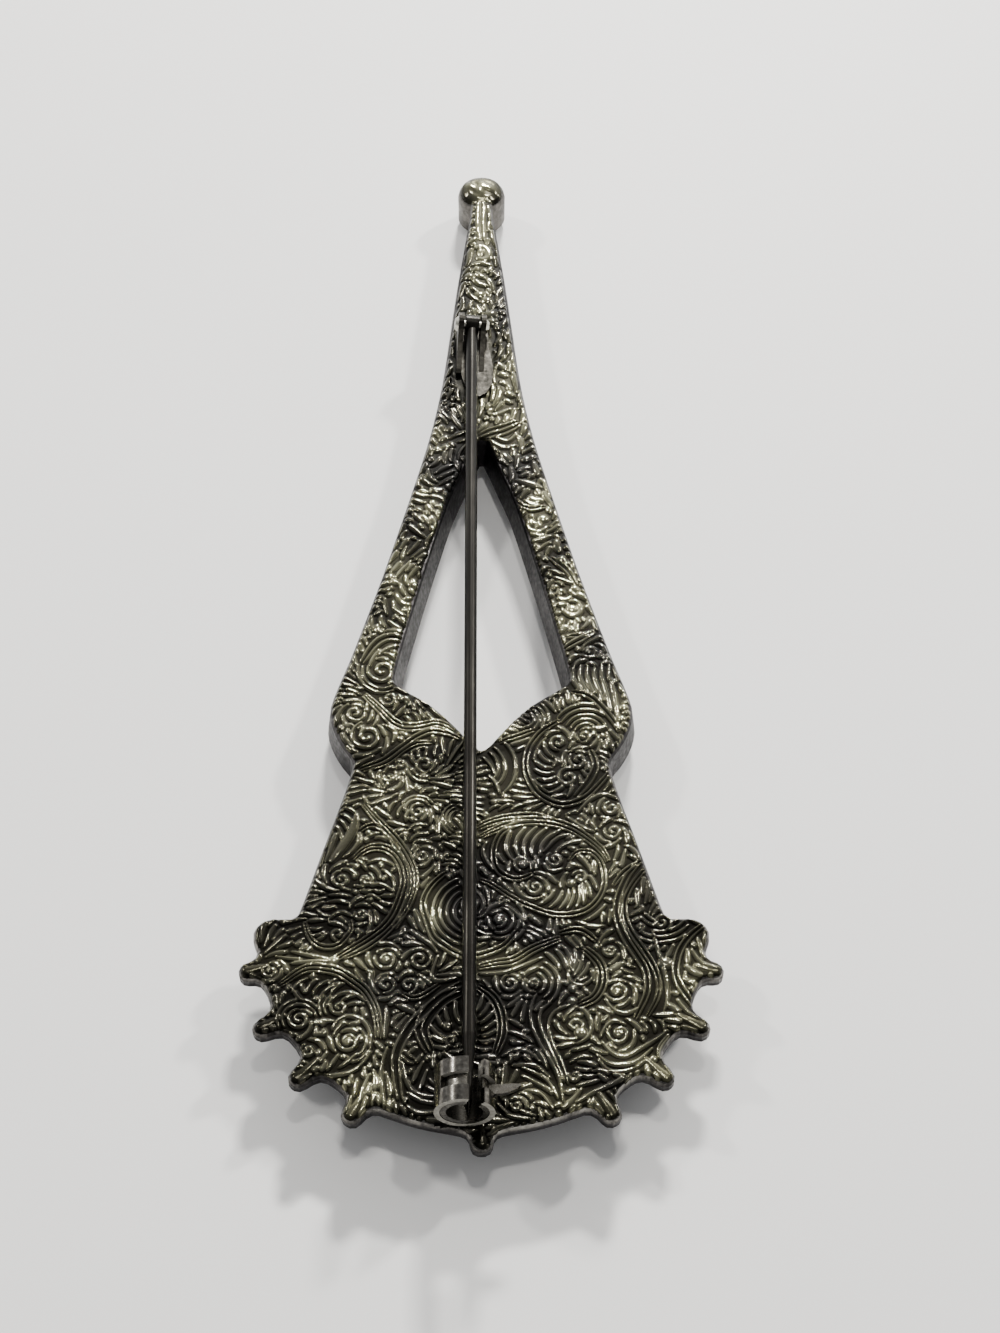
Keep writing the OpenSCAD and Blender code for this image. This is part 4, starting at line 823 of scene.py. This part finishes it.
def pave_material():
    n = Nodes("pave_bed")
    cloud = n.noise(900.0, 3.0)
    colour = n.ramp(cloud, [(0.3, (0.05, 0.05, 0.055)), (0.7, (0.15, 0.15, 0.16))])
    rough = n.ramp(cloud, [(0.3, (0.2,) * 3), (0.7, (0.45,) * 3)])
    return n.finish(colour, rough, 0.6, n.bump(cloud, 0.00004, 0.8))


RELIEF, SIDE, WIRE, CRYSTAL, PAVE = relief_material(), side_material(), wire_material(), crystal_material(), pave_material()


def dress(obj, material):
    obj.data.materials.clear()
    obj.data.materials.append(material)


for o in skins:
    dress(o, RELIEF)
dress(casting, SIDE)
dress(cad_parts["pin_stem"], WIRE)
dress(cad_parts["catch_rotor"], fitting_material())
dress(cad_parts["hinge_rivet"], rivet_material())
for name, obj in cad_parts.items():
    if name.startswith("rim_crystal") or name == "cup_crystal":
        dress(obj, CRYSTAL)
dress(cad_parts["pave"], PAVE)


def mesh_object(name, verts, faces, smooth=False):
    mesh = bpy.data.meshes.new(name)
    mesh.from_pydata([tuple(v) for v in verts], [], [tuple(f) for f in faces])
    mesh.update()
    if smooth:
        mesh.shade_smooth()
    obj = bpy.data.objects.new(name, mesh)
    scene.collection.objects.link(obj)
    return obj


# ---------------------------------------------------------------- small stones on the paved front, which is hidden in the picture
def stone_spots(pitch, clear):
    """Places on the paved face with room for a stone all round."""
    face = BVHTree.FromObject(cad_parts["pave"], bpy.context.evaluated_depsgraph_get())
    up = Vector((0, 0, 1))

    def flat(x, y):
        hit = face.ray_cast(Vector((x * MM, y * MM, -2 * MM)), up, 6 * MM)
        return hit[0] is not None and hit[0].z / MM < 0.99

    spots = []
    rows = int(112 / (pitch * 0.866))
    for j in range(rows):
        y = -56 + j * pitch * 0.866
        for i in range(-20, 21):
            x = (i + 0.5 * (j % 2)) * pitch
            if abs(x) < 20 and flat(x, y) and all(flat(x + clear * math.cos(a), y + clear * math.sin(a)) for a in (0.4, 1.2, 2.0, 2.8, 3.5, 4.3, 5.1, 5.9)):
                spots.append((x, y))
    return spots


spots = stone_spots(1.22, 0.56)
verts, faces = [], []
for x, y in spots:
    turn = rng.uniform(0, math.pi)
    start = len(verts)
    for r, height in ((0.30, 0.64), (0.46, 0.74), (0.55, 0.87), (0.52, 1.0)):
        for k in range(8):
            a = turn + (k + (0.5 if r == 0.46 else 0.0)) * math.pi / 4
            verts.append(((x + r * math.cos(a)) * MM, (y + r * math.sin(a)) * MM, height * MM))
    for ring in range(3):
        for k in range(8):
            a, b = start + ring * 8 + k, start + ring * 8 + (k + 1) % 8
            faces += [(a, a + 8, b), (b, a + 8, b + 8)] if ring != 1 else [(a, a + 8, b + 8), (a, b + 8, b)]
    faces.append(tuple(start + k for k in range(8)))
stones = mesh_object("pave_stones", verts, faces)
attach(stones, "brooch")
dress(stones, CRYSTAL)
beads_v, beads_f = [], []
for x, y in spots:      # a bead of metal holds each stone on both sides
    for side in (-0.5, 0.5):
        cx, cy, r = x + side * 1.22 * 0.5, y + 1.22 * 0.289, 0.13
        start = len(beads_v)
        for dx, dy, dz in ((1, 0, 0), (0, 1, 0), (-1, 0, 0), (0, -1, 0), (0, 0, -1)):
            beads_v.append(((cx + r * dx) * MM, (cy + r * dy) * MM, (0.97 + (0.2 if dz else 0) * dz) * MM))
        beads_f += [(start + k, start + 4, start + (k + 1) % 4) for k in range(4)]
beads = mesh_object("pave_beads", beads_v, beads_f)
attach(beads, "brooch")
dress(beads, SIDE)

# ---------------------------------------------------------------- floor and light
def area_light(name, place, target, size, power, colour=(1, 1, 1)):
    data = bpy.data.lights.new(name, "AREA")
    data.shape = "RECTANGLE"
    data.size, data.size_y = size
    data.energy = power
    data.color = colour
    obj = bpy.data.objects.new(name, data)
    scene.collection.objects.link(obj)
    obj.location = place
    obj.rotation_mode = "QUATERNION"
    obj.rotation_quaternion = (Vector(target) - Vector(place)).to_track_quat("-Z", "Y")
    return obj


floor = mesh_object("floor", [(-2, -2, 0), (2, -2, 0), (2, 2, 0), (-2, 2, 0)], [(0, 1, 2, 3)])
n = Nodes("floor")
cloth = n.ramp(n.noise(14.0, 2.0), [(0.3, (0.775, 0.768, 0.752)), (0.7, (0.80, 0.793, 0.777))])
dress(floor, n.finish(cloth, 0.6, 0.0))

world = bpy.data.worlds.new("world")
scene.world = world
world.use_nodes = True
# the room is brightest low behind the brooch and dim above and on the camera's side
sky = world.node_tree
aim = sky.nodes.new("ShaderNodeSeparateXYZ")
sky.links.new(sky.nodes.new("ShaderNodeTexCoord").outputs["Generated"], aim.inputs[0])
slope = sky.nodes.new("ShaderNodeMath"); slope.operation = "MULTIPLY_ADD"
slope.inputs[1].default_value, slope.inputs[2].default_value = 0.40, 0.5
lift = sky.nodes.new("ShaderNodeMath"); lift.operation = "MULTIPLY_ADD"
lift.inputs[1].default_value = -0.18
room = sky.nodes.new("ShaderNodeValToRGB")
LEVELS = [(0.05, 0.26), (0.30, 0.21), (0.60, 0.42), (0.80, 1.0)]     # position along the slope, brightness
while len(room.color_ramp.elements) < len(LEVELS):
    room.color_ramp.elements.new(0.5)
for e, (pos, level) in zip(room.color_ramp.elements, LEVELS):
    e.position, e.color = pos, (level * 0.975, level * 0.98, level, 1)
sky.links.new(aim.outputs[1], slope.inputs[0])
sky.links.new(aim.outputs[2], lift.inputs[0])
sky.links.new(slope.outputs[0], lift.inputs[2])
sky.links.new(lift.outputs[0], room.inputs[0])
sky.links.new(room.outputs[0], sky.nodes["Background"].inputs[0])
sky.nodes["Background"].inputs[1].default_value = 1.72
LAMPS = [       # place in metres, size, watts
    ((0.06, 0.50, 0.33), (0.08, 0.032), 6.0),
    ((0.36, 0.32, 0.34), (0.042, 0.042), 2.7),
    ((-0.38, 0.26, 0.36), (0.042, 0.042), 1.5),
    ((0.04, 0.08, 0.60), (0.06, 0.04), 0.8),
]
for k, (place, size, watts) in enumerate(LAMPS):
    area_light("lamp_%d" % (k + 1), place, (0, -0.005, 0), size, watts, (1.0, 0.985, 0.95))
